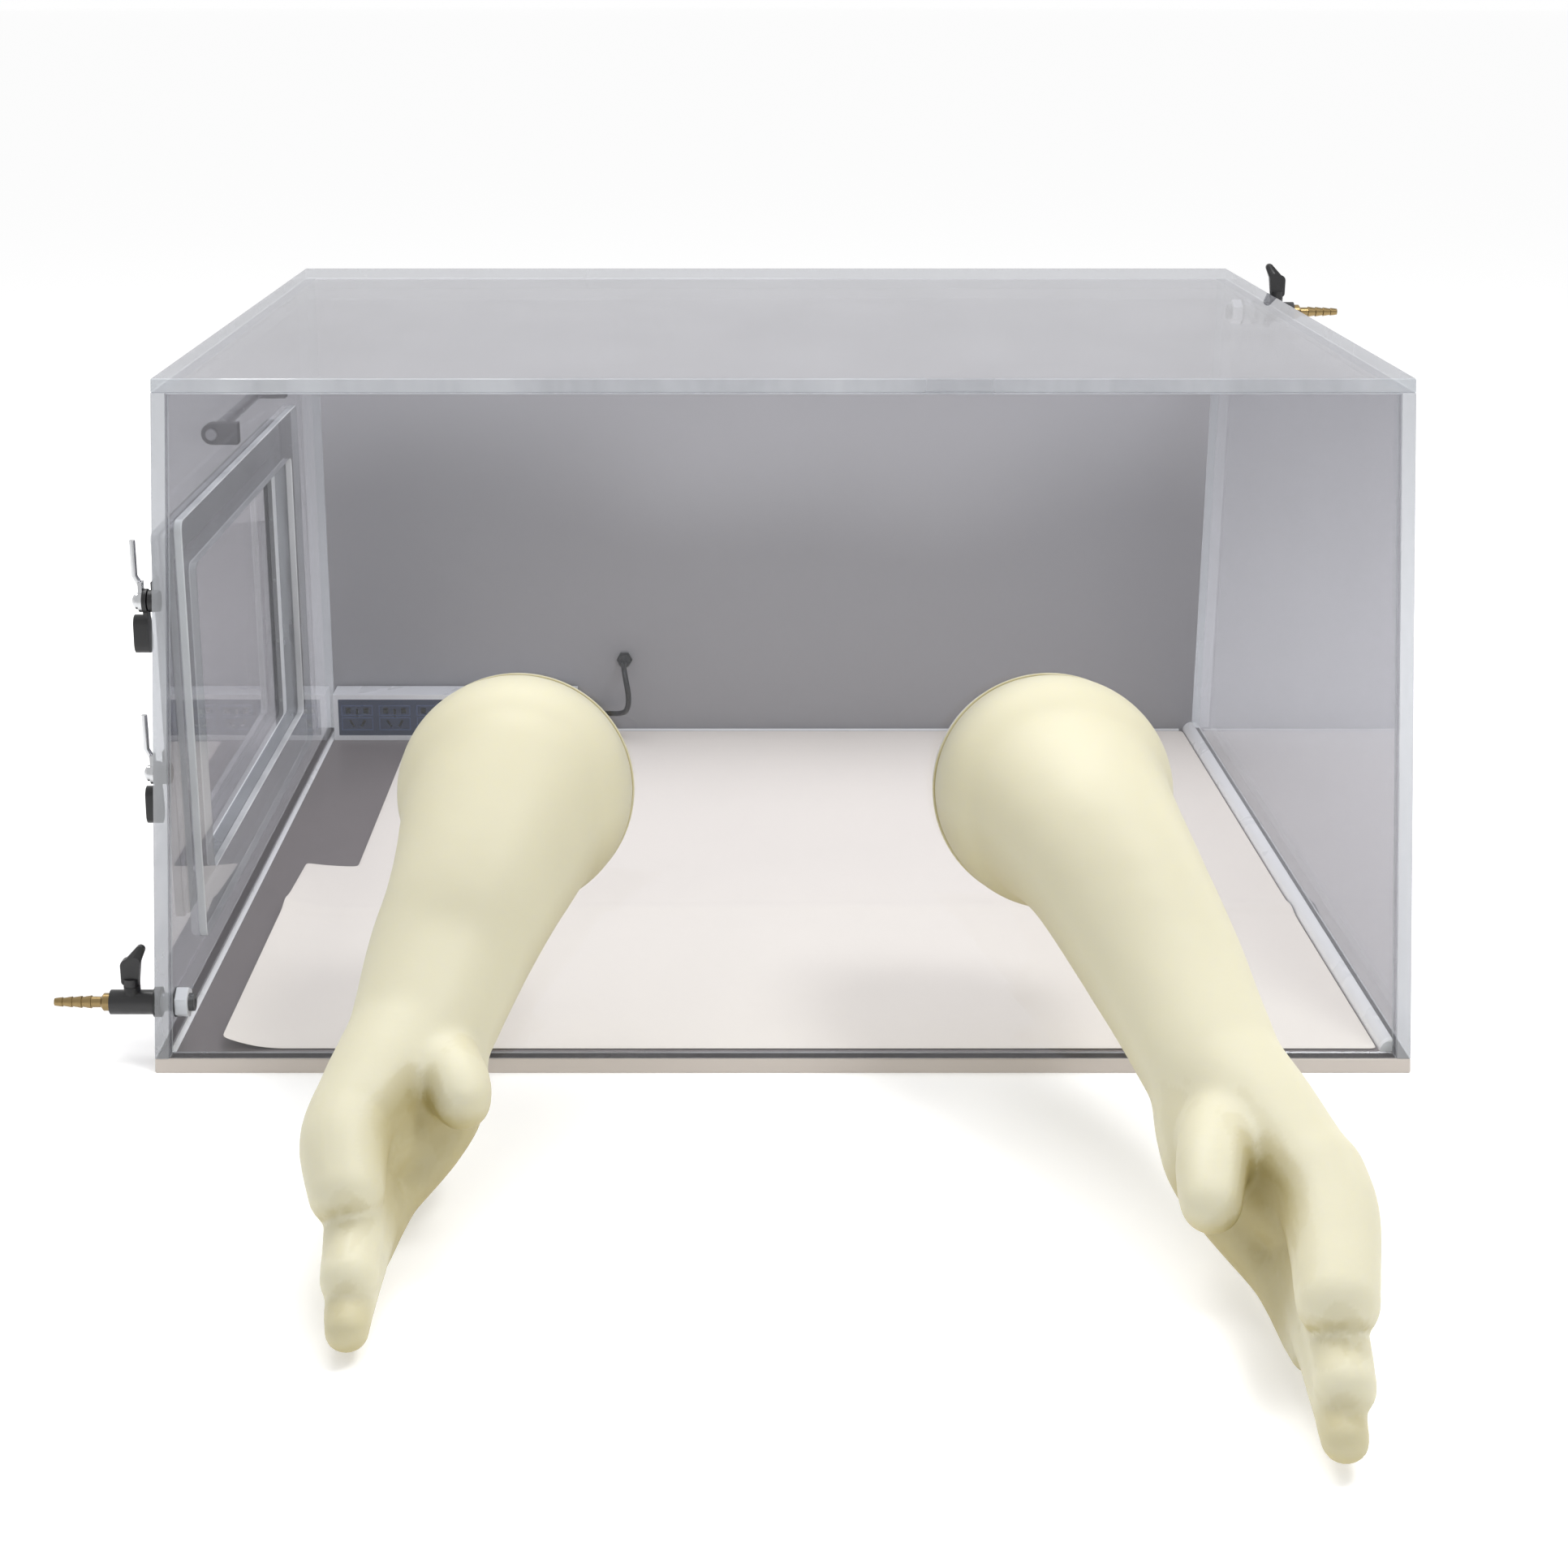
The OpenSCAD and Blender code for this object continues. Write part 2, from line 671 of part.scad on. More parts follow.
module strip_face() {
    ear_x = 8;
    color("midnightblue") {
        difference() {
            translate([strip_x0 + rim + 0.1, strip_y0 + 0.5, strip_z0 + rim + 0.1])
                cube([strip_l - 2 * rim - 0.2, face_t - 0.5, strip_h - 2 * rim - 0.2]);
            for (i = [0 : outlets - 1])
                translate([strip_x0 + 24 + i * outlet_pitch, strip_y0 - 5, rocker_z - 2]) outlet_slots();
            translate([rocker_x - 6.4, strip_y0 - cut, rocker_z - 12]) cube([12.8, 6, 24]);
        }
        for (s = [-1, 1]) difference() {
            translate([rocker_x + s * ear_x - 1.2, strip_y0 + face_t - 0.1, rocker_z - 5]) cube([2.4, 7, 10]);
            bar_x(rocker_x - 12, rocker_x + 12, 1.56, rocker_y + 1.5, rocker_z);
        }
    }
}

module strip_contacts() {
    color("gold") for (z = [strip_z0 + 16, strip_z0 + strip_h - 16])
        translate([strip_x0 + 8, strip_y0 + 12, z - 3]) cube([outlets * outlet_pitch + 6, 1.9, 6]);
}

module strip_rocker() {
    color("black") {
        translate([rocker_x - 6, 0, 0]) rotate([90, 0, 90]) linear_extrude(12) polygon([
            [rocker_y + 4, rocker_z - 7], [rocker_y - 3.2, rocker_z - 9.6],
            [rocker_y - 4.6, rocker_z], [rocker_y - 7.4, rocker_z + 9.2],
            [rocker_y + 4, rocker_z + 7]]);
        bar_x(rocker_x - 9, rocker_x + 9, 1.5, rocker_y + 1.5, rocker_z);
    }
}

module strip_strain_relief() {
    color("black") translate([strip_x1, 372, 34]) rotate([0, 90, 0]) difference() {
        union() {
            cylinder(r = 6.5, h = 4);
            cylinder(r1 = 5, r2 = 3.4, h = relief_l);
        }
        for (i = [0 : 2]) ring(3.6, 7, 6 + i * 4, 7.6 + i * 4);
    }
}

// Points along a smooth curve through the route, steps to each stretch
function spline(p, i, t) = let (
    a = p[max(i - 1, 0)], b = p[i], c = p[i + 1], d = p[min(i + 2, len(p) - 1)])
    0.5 * (2 * b + (c - a) * t + (2 * a - 5 * b + 4 * c - d) * t * t
        + (3 * b - a - 3 * c + d) * t * t * t);
function curve(p, n) = [for (i = [0 : len(p) - 2], k = [0 : n - 1]) spline(p, i, k / n), p[len(p) - 1]];

// A round tube of radius r swept along points, its rings square to the path
module swept_tube(path, r, sides, first, last) {
    n = len(path);
    along = [for (i = [0 : n - 1]) i == 0 ? first : i == n - 1 ? last : path[i + 1] - path[i - 1]];
    rings = [for (i = [0 : n - 1]) let (
        t = along[i] / norm(along[i]),
        side = cross(t, [0.3, 0.1, 1]),
        u = side / norm(side),
        v = cross(t, u))
        for (k = [0 : sides - 1]) path[i] + r * (cos(360 * k / sides) * u + sin(360 * k / sides) * v)];
    walls = [for (i = [0 : n - 2], k = [0 : sides - 1]) let (
        a = i * sides + k, b = i * sides + (k + 1) % sides)
        [a, a + sides, b + sides, b]];
    ends = [[for (k = [0 : sides - 1]) k], [for (k = [sides - 1 : -1 : 0]) (n - 1) * sides + k]];
    polyhedron(points = rings, faces = concat(walls, ends));
}

module supply_lead() {
    color([0.05, 0.05, 0.05])
        swept_tube(curve(lead_route, lead_steps), lead_r, lead_sides, [1, 0, 0], [0, 1, 0]);
}

module lead_gland() {
    color([0.12, 0.12, 0.12]) translate([gland_x, in_y, gland_z]) rotate([90, 0, 0]) {
        cylinder(r = gland_r + 2, h = 4, $fn = 6);
        cylinder(r = gland_r, h = 12);
        translate([0, 0, 12]) cylinder(r1 = gland_r, r2 = 3.4, h = gland_nose - 12);
        translate([0, 0, -wall_t]) cylinder(r = gland_r - 0.5, h = wall_t + 1);
    }
}

module inlet_housing() {
    color([0.1, 0.1, 0.1]) difference() {
        translate([gland_x - inlet_w / 2, half_d, gland_z - inlet_h / 2]) cube([inlet_w, inlet_d, inlet_h]);
        translate([gland_x - recess[0] / 2, half_d + inlet_d - recess[2], gland_z - recess[1] / 2])
            cube([recess[0], recess[2] + cut, recess[1]]);
        for (dx = [-20, 20], dz = [-25, 25]) translate([gland_x + dx, half_d - cut, gland_z + dz])
            rotate([-90, 0, 0]) cylinder(r = screw_r + 0.1, h = inlet_d + 2 * cut);
    }
}

module inlet_pins() {
    color("silver") for (p = [[-7, -3], [0, 4], [7, -3]])
        translate([gland_x + p[0] - 1, half_d + inlet_d - recess[2], gland_z + p[1] - 2]) cube([2, 12, 4]);
}

module inlet_screws() {
    color("silver") for (dx = [-20, 20], dz = [-25, 25])
        translate([gland_x + dx, half_d + inlet_d, gland_z + dz]) rotate([0, 0, -90]) screw(inlet_d + 6);
}

base_panel();
front_panel();
rear_panel();
left_panel();
right_panel();
top_panel();
floor_bead();
thin_seal_beads();
floor_liner();
door_frame();
port_collar_left();
port_collar_right();
collar_lock_rings();
collar_gaskets();
cuff_o_rings();
glove_left();
glove_right();
door_panel();
door_gasket();
door_strikes();
hinge_leaf_wall();
hinge_leaf_door();
hinge_pin();
hinge_screws_wall();
hinge_screws_door();
latch_posts();
latch_cap_nuts();
latch_arm_upper();
latch_grip_upper();
latch_arm_lower();
latch_grip_lower();
handle_posts();
handle_bar();
left_valve_body();
left_valve_barb();
left_valve_ball();
left_valve_lever();
left_valve_nut();
left_valve_washer();
right_valve_body();
right_valve_barb();
right_valve_ball();
right_valve_lever();
right_valve_nut();
right_valve_washer();
strip_shell();
strip_face();
strip_contacts();
strip_rocker();
strip_strain_relief();
supply_lead();
lead_gland();
inlet_housing();
inlet_pins();
inlet_screws();
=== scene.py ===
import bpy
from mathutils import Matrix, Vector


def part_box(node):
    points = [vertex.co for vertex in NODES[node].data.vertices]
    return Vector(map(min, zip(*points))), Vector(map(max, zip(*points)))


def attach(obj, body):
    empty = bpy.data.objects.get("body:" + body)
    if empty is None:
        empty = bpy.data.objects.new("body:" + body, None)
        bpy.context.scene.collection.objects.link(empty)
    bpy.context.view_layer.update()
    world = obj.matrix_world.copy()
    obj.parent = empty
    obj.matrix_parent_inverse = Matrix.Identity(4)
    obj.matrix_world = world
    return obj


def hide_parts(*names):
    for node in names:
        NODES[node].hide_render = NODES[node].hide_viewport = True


bl_info = {
    "name": "Sloping-front glove box",
    "version": (1, 0, 0),
    "blender": (4, 5, 0),
    "location": "3D View > Sidebar > Glove box",
    "description": "Finishes a bench glove box: acrylic chamber, gloves, liner, door, valves and power strip",
    "category": "Add Mesh",
}

import math

import bmesh
import bpy
from bpy.props import FloatProperty, FloatVectorProperty, IntProperty, PointerProperty
from mathutils import Matrix, Vector, noise
from mathutils.bvhtree import BVHTree

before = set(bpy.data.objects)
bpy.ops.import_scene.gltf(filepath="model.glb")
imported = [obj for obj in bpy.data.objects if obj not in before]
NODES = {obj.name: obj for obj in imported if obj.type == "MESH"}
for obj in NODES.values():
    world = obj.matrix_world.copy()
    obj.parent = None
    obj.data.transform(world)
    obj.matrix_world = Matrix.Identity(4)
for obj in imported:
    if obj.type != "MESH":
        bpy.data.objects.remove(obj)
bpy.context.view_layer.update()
MM = 0.001


def linear(code):
    """A colour written as #rrggbb, as the linear values that a shader takes."""
    parts = [int(code[i : i + 2], 16) / 255 for i in (1, 3, 5)]
    return tuple(p / 12.92 if p <= 0.04045 else ((p + 0.055) / 1.055) ** 2.4 for p in parts)


def rgba(colour):
    return (colour[0], colour[1], colour[2], 1.0)


def shade(colour, factor):
    return tuple(min(1.0, c * factor) for c in colour[:3]) + (1.0,)


# ---- Settings a user would change ----


class GloveBoxSizes(bpy.types.PropertyGroup):
    edge_ease: FloatProperty(
        name="Panel edge", description="Chamfer along the acrylic's polished edges",
        default=0.8 * MM, min=0.1 * MM, max=2 * MM, unit="LENGTH")
    latex_wall: FloatProperty(
        name="Latex wall", description="Thickness of the gloves' latex",
        default=1.6 * MM, min=0.5 * MM, max=3 * MM, unit="LENGTH")
    glove_voxel: FloatProperty(
        name="Glove detail", description="Size of the grid that the gloves are drawn together on",
        default=2.6 * MM, min=1.5 * MM, max=6 * MM, unit="LENGTH")
    liner_fold: FloatProperty(
        name="Liner fold", description="Height of the fold that crosses the floor liner",
        default=3.2 * MM, min=0, max=6 * MM, unit="LENGTH")
    lead_steps: IntProperty(
        name="Lead steps", description="Points along each stretch of the supply lead",
        default=4, min=2, max=8)


class GloveBoxColours(bpy.types.PropertyGroup):
    latex: FloatVectorProperty(
        name="Latex", description="Colour of the gloves", subtype="COLOR",
        default=linear("#C7C1A6"), min=0, max=1)
    liner: FloatVectorProperty(
        name="Liner", description="Colour of the floor liner", subtype="COLOR",
        default=linear("#FBF3E8"), min=0, max=1)
    smoke: FloatVectorProperty(
        name="Smoke tint", description="What one face of the side panels lets through",
        subtype="COLOR", default=linear("#DAD9DC"), min=0, max=1)
    rear: FloatVectorProperty(
        name="Rear panel", description="Colour of the grey rear panel", subtype="COLOR",
        default=linear("#A1A0A3"), min=0, max=1)
    base: FloatVectorProperty(
        name="Base panel", description="Colour of the base board", subtype="COLOR",
        default=linear("#7E7675"), min=0, max=1)
    strip: FloatVectorProperty(
        name="Power strip face", description="Colour of the outlet plate", subtype="COLOR",
        default=linear("#2F3B57"), min=0, max=1)


def sizes():
    return bpy.context.scene.glove_box_sizes


def colours():
    return bpy.context.scene.glove_box_colours


# ---- Nodes ----


def add_node(tree, kind, settings=None, inputs=None, links=None):
    """Adds a node, sets its own settings and its inputs' values, and links sockets to its inputs."""
    node = tree.nodes.new(kind)
    for key, value in (settings or {}).items():
        setattr(node, key, value)
    for key, value in (inputs or {}).items():
        node.inputs[key].default_value = value
    for key, socket in (links or {}).items():
        tree.links.new(socket, node.inputs[key])
    return node


def start_material(name):
    """An empty material, its node tree, its output node and its Object coordinates."""
    found = bpy.data.materials.get(name)
    if found:
        bpy.data.materials.remove(found)
    material = bpy.data.materials.new(name)
    material.use_nodes = True
    tree = material.node_tree
    tree.nodes.clear()
    out = add_node(tree, "ShaderNodeOutputMaterial")
    place = add_node(tree, "ShaderNodeTexCoord").outputs["Object"]
    return material, tree, out, place


def acrylic(name, tint, haze_colour, haze, wave=0.12):
    """Cast acrylic sheet (PMMA), extruded flat and flame polished.

    It lets lamps through with a faint tint, mirrors its surroundings at a glancing view, and wears a
    film of wiping haze. Sheet this size is never quite flat, so its reflections bend a little."""
    material, tree, out, place = start_material(name)
    # Wiping streaks: about 90 mm wide and four times as long
    streaks = add_node(tree, "ShaderNodeMapping", inputs={"Scale": (11, 11, 3)}, links={"Vector": place})
    film = add_node(tree, "ShaderNodeTexNoise", inputs={"Scale": 1.0, "Detail": 4, "Roughness": 0.55},
                    links={"Vector": streaks.outputs["Vector"]})
    amount = add_node(tree, "ShaderNodeMapRange",
                      inputs={"From Min": 0.3, "From Max": 0.75, "To Min": haze * 0.6, "To Max": haze * 1.35},
                      links={"Value": film.outputs["Fac"]})
    # Sheet waviness: 300 mm from crest to crest
    flat = add_node(tree, "ShaderNodeTexNoise", inputs={"Scale": 3.3, "Detail": 1}, links={"Vector": place})
    ripple = add_node(tree, "ShaderNodeBump", inputs={"Strength": wave, "Distance": 0.004},
                      links={"Height": flat.outputs["Fac"]})
    clear = add_node(tree, "ShaderNodeBsdfTransparent", inputs={"Color": rgba(tint)})
    bloom = add_node(tree, "ShaderNodeBsdfPrincipled",
                     inputs={"Base Color": rgba(haze_colour), "Roughness": 0.45, "IOR": 1.49})
    body = add_node(tree, "ShaderNodeMixShader", links={0: amount.outputs["Result"],
                    1: clear.outputs[0], 2: bloom.outputs[0]})
    mirror = add_node(tree, "ShaderNodeBsdfGlossy", inputs={"Color": (0.8, 0.8, 0.81, 1), "Roughness": 0.03},
                      links={"Normal": ripple.outputs["Normal"]})
    # Schlick's curve, 4 % face on, the same from both sides of a sheet that doesn't bend light
    glance = add_node(tree, "ShaderNodeLayerWeight", inputs={"Blend": 0.5})
    steep = add_node(tree, "ShaderNodeMath", {"operation": "POWER"}, {1: 5.0}, {0: glance.outputs["Facing"]})
    mirrored = add_node(tree, "ShaderNodeMath", {"operation": "MULTIPLY_ADD"}, {1: 0.96, 2: 0.04},
                        {0: steep.outputs[0]})
    whole = add_node(tree, "ShaderNodeMixShader", links={0: mirrored.outputs[0],
                     1: body.outputs[0], 2: mirror.outputs[0]})
    tree.links.new(whole.outputs[0], out.inputs["Surface"])
    return material


def solid(name, colour, roughness, spot=0.0, spot_mm=8.0, grain_mm=0.0, grain=0.0, rough_swing=0.08,
          metallic=0.0, stretch=(1, 1, 1), painted_shade=None, **shader):
    """An opaque finish: its colour drifts in patches, its gloss swings with handling, its grain is bump.

    spot is how far the patches go from the colour, spot_mm and grain_mm are real sizes, and the shade colour,
    where given, is painted shade. It is mixed into a piece's creases and undersides as far as the amount
    stored on its points goes."""
    material, tree, out, place = start_material(name)
    lay = add_node(tree, "ShaderNodeMapping", inputs={"Scale": stretch}, links={"Vector": place})
    patch = add_node(tree, "ShaderNodeTexNoise",
                     inputs={"Scale": 1000 / spot_mm / 3, "Detail": 3, "Roughness": 0.6},
                     links={"Vector": lay.outputs["Vector"]})
    mix = add_node(tree, "ShaderNodeMix", {"data_type": "RGBA"},
                   {"A": shade(colour, 1 - spot), "B": shade(colour, 1 + spot)},
                   {"Factor": patch.outputs["Fac"]})
    swing = add_node(tree, "ShaderNodeMapRange",
                     inputs={"From Min": 0.3, "From Max": 0.7, "To Min": max(0.02, roughness - rough_swing),
                             "To Max": min(1.0, roughness + rough_swing)},
                     links={"Value": patch.outputs["Fac"]})
    # Painted shade: a darker colour, mixed in by the amount of shade stored on each point
    if painted_shade:
        shade_amount = add_node(tree, "ShaderNodeAttribute", {"attribute_name": "painted_shade"})
        mix = add_node(tree, "ShaderNodeMix", {"data_type": "RGBA"}, {"B": rgba(painted_shade)},
                       {"Factor": shade_amount.outputs["Fac"], "A": mix.outputs["Result"]})
    body = add_node(tree, "ShaderNodeBsdfPrincipled", inputs={"Metallic": metallic, **shader},
                    links={"Base Color": mix.outputs["Result"], "Roughness": swing.outputs["Result"]})
    if grain:
        fine = add_node(tree, "ShaderNodeTexNoise",
                        inputs={"Scale": 1000 / grain_mm / 3, "Detail": 2, "Roughness": 0.5},
                        links={"Vector": lay.outputs["Vector"]})
        bump = add_node(tree, "ShaderNodeBump", inputs={"Strength": grain, "Distance": grain_mm * MM / 3},
                        links={"Height": fine.outputs["Fac"]})
        tree.links.new(bump.outputs["Normal"], body.inputs["Normal"])
    tree.links.new(body.outputs[0], out.inputs["Surface"])
    return material


def paint_light_on_top(material, colour):
    """Paints light on the rear sheet: a paler upper part, with a soft sagging border."""
    tree = material.node_tree
    place = next(n for n in tree.nodes if n.type == "TEX_COORD").outputs["Object"]
    body = next(n for n in tree.nodes if n.type == "BSDF_PRINCIPLED")
    drift = body.inputs["Base Color"].links[0].from_socket
    sway = add_node(tree, "ShaderNodeTexNoise", inputs={"Scale": 2.2, "Detail": 1}, links={"Vector": place})
    where = add_node(tree, "ShaderNodeSeparateXYZ", links={"Vector": place})
    height = add_node(tree, "ShaderNodeMath", {"operation": "MULTIPLY_ADD"}, {1: 0.22},
                      {0: sway.outputs["Fac"], 2: where.outputs["Z"]})
    band = add_node(tree, "ShaderNodeMapRange", {"interpolation_type": "SMOOTHSTEP"},
                    {"From Min": 0.34, "From Max": 0.47, "To Min": 0.0, "To Max": 1.0},
                    {"Value": height.outputs[0]})
    mix = add_node(tree, "ShaderNodeMix", {"data_type": "RGBA"}, {"B": shade(colour, 1.5)},
                   {"Factor": band.outputs["Result"], "A": drift})
    tree.links.new(mix.outputs["Result"], body.inputs["Base Color"])


FINISH = {}


def make_finishes():
    """Every finish on the object, each started from what the real surface is."""
    c = colours()
    FINISH["clear"] = acrylic("clear_cast_acrylic", linear("#F6F7F8"), linear("#C9CCD2"), 0.006)
    FINISH["smoke"] = acrylic("smoke_acrylic", c.smoke, linear("#A5A4AA"), 0.025)
    FINISH["top"] = acrylic("hazed_top_acrylic", linear("#EEEEF1"), linear("#C9C9CF"), 0.09)
    # Smoked sheet of the door, one shade deeper, and the clear ring glued round its opening
    FINISH["door"] = acrylic("door_smoke_acrylic", linear("#CDCBCE"), linear("#A5A4AA"), 0.03)
    FINISH["frame"] = acrylic("clear_frame_acrylic", linear("#F6F7F8"), linear("#DDDEE2"), 0.20)
    # Sawn and flame-polished edge of cast sheet: light gathers in it, and at the door's opening a paler,
    # hazier copy is painted light for the light gathered there
    FINISH["edge"] = acrylic("flame_polished_edge", linear("#DDE0E2"), linear("#CFD2D6"), 0.40, 0.05)
    FINISH["bright_edge"] = acrylic("polished_opening_edge", linear("#F4F7F7"), linear("#F6F8F8"), 0.75, 0.05)
    # Grey cast acrylic, 10 mm: opaque, glossy, with a slow drift of shade from forming
    FINISH["rear"] = solid("grey_cast_acrylic", c.rear, 0.30, spot=0.05, spot_mm=260, rough_swing=0.05,
                           stretch=(0.6, 1, 1.6), IOR=1.49)
    # Painted light: the rear sheet is paler towards its top
    paint_light_on_top(FINISH["rear"], c.rear)
    # Rigid PVC board, matt side up, with fine cutting and wiping marks
    FINISH["base"] = solid("grey_pvc_board", c.base, 0.42, spot=0.08, spot_mm=40, grain_mm=1.5, grain=0.12,
                           IOR=1.53)
    # The same board's sawn and sanded edge, paler than its face
    FINISH["base_edge"] = solid("sawn_pvc_edge", linear("#BDB5AE"), 0.5, spot=0.06, spot_mm=12,
                                grain_mm=1.0, grain=0.2, stretch=(0.3, 1, 1), IOR=1.53)
    # White polypropylene bench liner: dead matt, with a felted surface
    FINISH["liner"] = solid("felted_polypropylene_liner", c.liner, 0.82, spot=0.025, spot_mm=60,
                            grain_mm=2.2, grain=0.25, rough_swing=0.06, IOR=1.49)
    # Natural rubber latex, dipped: soft sheen, light goes a few millimetres in, powdery patches, and an olive
    # painted shade in its creases, undersides, palm side and finger tip
    FINISH["latex"] = solid("dipped_natural_latex", c.latex, 0.60, spot=0.045, spot_mm=55, grain_mm=2.6,
                            grain=0.10, rough_swing=0.07, painted_shade=linear("#9E9160"), IOR=1.52,
                            **{"Subsurface Weight": 0.25, "Subsurface Scale": 0.012,
                               "Subsurface Radius": (1.0, 0.85, 0.35)})
    # Injection-moulded PVC collars and lock rings: white, satin
    FINISH["collar"] = solid("moulded_white_pvc", linear("#E6E5E1"), 0.38, spot=0.02, spot_mm=30, IOR=1.53)
    # Moulded nitrile rubber of the washers, O-rings and collar gaskets: black and matt
    FINISH["black_rubber"] = solid("nitrile_rubber", linear("#17171A"), 0.62, spot=0.2, spot_mm=6,
                                   grain_mm=0.8, grain=0.15, IOR=1.52)
    # Translucent silicone strip: milky; a faint emission on it is painted light, standing in for the daylight
    # it gathers from its edges
    FINISH["gasket"] = solid("translucent_silicone", linear("#EEF0F1"), 0.4, spot=0.03, spot_mm=10, IOR=1.43,
                             **{"Emission Color": rgba(linear("#EEF0F1")), "Emission Strength": 0.15})
    # Neutral-cure silicone, tooled with a finger: white, wet-looking, a little lumpy
    FINISH["sealant"] = solid("white_silicone_sealant", linear("#FBFBFA"), 0.32, spot=0.01, spot_mm=20,
                              grain_mm=14, grain=0.25, IOR=1.43)
    # Black anodised aluminium: fine satin, worn a little on its high runs
    FINISH["black_metal"] = solid("black_anodised_aluminium", linear("#121214"), 0.45, spot=0.18,
                                  spot_mm=18, grain_mm=0.5, grain=0.1, metallic=0.3, stretch=(1, 1, 0.2))
    # Drawn stainless rod and screws: fine lines along the drawing
    FINISH["steel"] = solid("drawn_stainless_steel", linear("#C5C6C8"), 0.26, spot=0.08, spot_mm=10,
                            grain_mm=0.4, grain=0.12, metallic=1.0, stretch=(1, 1, 0.15))
    # Glass-filled nylon: black, grained by its mould
    FINISH["black_plastic"] = solid("black_moulded_nylon", linear("#151517"), 0.40, spot=0.2, spot_mm=9,
                                    grain_mm=0.7, grain=0.18, IOR=1.53)
    # Turned brass that has dulled to brown in its grooves
    FINISH["brass"] = solid("dulled_turned_brass", linear("#8E7A55"), 0.33, spot=0.22, spot_mm=7,
                            grain_mm=0.5, grain=0.15, metallic=1.0, stretch=(0.3, 1, 1))
    # The same brass deep in the outlets, darkened as painted shade because little light comes there
    FINISH["dark_brass"] = solid("shaded_contact_brass", linear("#3A3224"), 0.45, spot=0.2, spot_mm=5,
                                 metallic=1.0)
    # Moulded ABS of the strip's housing, its face and the outlets' frames: satin, softly pebbled
    FINISH["white_plastic"] = solid("white_moulded_abs", linear("#F2F3F5"), 0.30, spot=0.015, spot_mm=25,
                                    grain_mm=0.6, grain=0.06, IOR=1.53)
    FINISH["navy_plastic"] = solid("navy_moulded_abs", c.strip, 0.34, spot=0.06, spot_mm=14, grain_mm=0.6,
                                   grain=0.10, IOR=1.53)
    FINISH["navy_light"] = solid("navy_frame_abs", shade(c.strip, 2.1), 0.32, spot=0.05, spot_mm=14,
                                 IOR=1.53)
    # Plasticised PVC sheath of a flexible lead: black, softly shining
    FINISH["lead"] = solid("pvc_lead_sheath", linear("#141416"), 0.36, spot=0.15, spot_mm=8, grain_mm=0.6,
                           grain=0.08, IOR=1.53)
    # Clear amber styrene lens, polished in its mould
    FINISH["lamp"] = solid("amber_lens", linear("#C8642A"), 0.2, spot=0.1, spot_mm=3, IOR=1.49)


# ---- Meshes ----


def new_piece(name, mesh_or_bm, finishes):
    """Links an object at the origin with the given finishes, shaded smooth except at its real edges."""
    if isinstance(mesh_or_bm, bmesh.types.BMesh):
        mesh = bpy.data.meshes.new(name)
        mesh_or_bm.to_mesh(mesh)
        mesh_or_bm.free()
    else:
        mesh = mesh_or_bm
        mesh.materials.clear()
    for finish in finishes:
        mesh.materials.append(FINISH[finish])
    mesh.shade_smooth()
    mesh.set_sharp_from_angle(angle=math.radians(30))
    piece = bpy.data.objects.new(name, mesh)
    bpy.context.scene.collection.objects.link(piece)
    return piece


def baked(piece):
    """The piece with its modifiers' result as its own mesh, and no modifiers."""
    graph = bpy.context.evaluated_depsgraph_get()
    mesh = bpy.data.meshes.new_from_object(piece.evaluated_get(graph))
    old = piece.data
    piece.modifiers.clear()
    piece.data = mesh
    bpy.data.meshes.remove(old)
    return piece


def node_bmesh(node):
    """A CAD node's triangles, joined up and with its flat faces made whole."""
    bm = bmesh.new()
    bm.from_mesh(NODES[node].data)
    bmesh.ops.remove_doubles(bm, verts=bm.verts, dist=2e-6)
    bmesh.ops.dissolve_limit(bm, angle_limit=math.radians(0.4), verts=bm.verts, edges=bm.edges)
    return bm


def ease(bm, width, least=32):
    """Chamfers the edges that turn more than `least` degrees."""
    turning = [e for e in bm.edges if e.is_manifold and e.calc_face_angle(0) > math.radians(least)]
    if turning and width:
        bmesh.ops.bevel(bm, geom=turning, offset=width, segments=1, affect="EDGES", clamp_overlap=True)
    return bm


def finished_node(node, body, finish, width, across=None, edge="edge"):
    """A CAD node's shape with eased edges. Where `across` is given, it is a sheet that thin way, and
    every face that doesn't look that way is an edge of the sheet and gets the edge's finish."""
    bm = ease(node_bmesh(node), width)
    finishes = [finish]
    if across is not None:
        finishes.append(edge)
        way = Vector(across).normalized()
        for face in bm.faces:
            face.normal_update()
            face.material_index = 0 if abs(face.normal.dot(way)) > 0.9 else 1
    piece = new_piece(node + "_finished", bm, finishes)
    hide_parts(node)
    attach(piece, body)
    return piece


def wear(node, finish):
    """Gives a CAD node that keeps its own mesh its finish."""
    mesh = NODES[node].data
    mesh.materials.clear()
    mesh.materials.append(FINISH[finish])


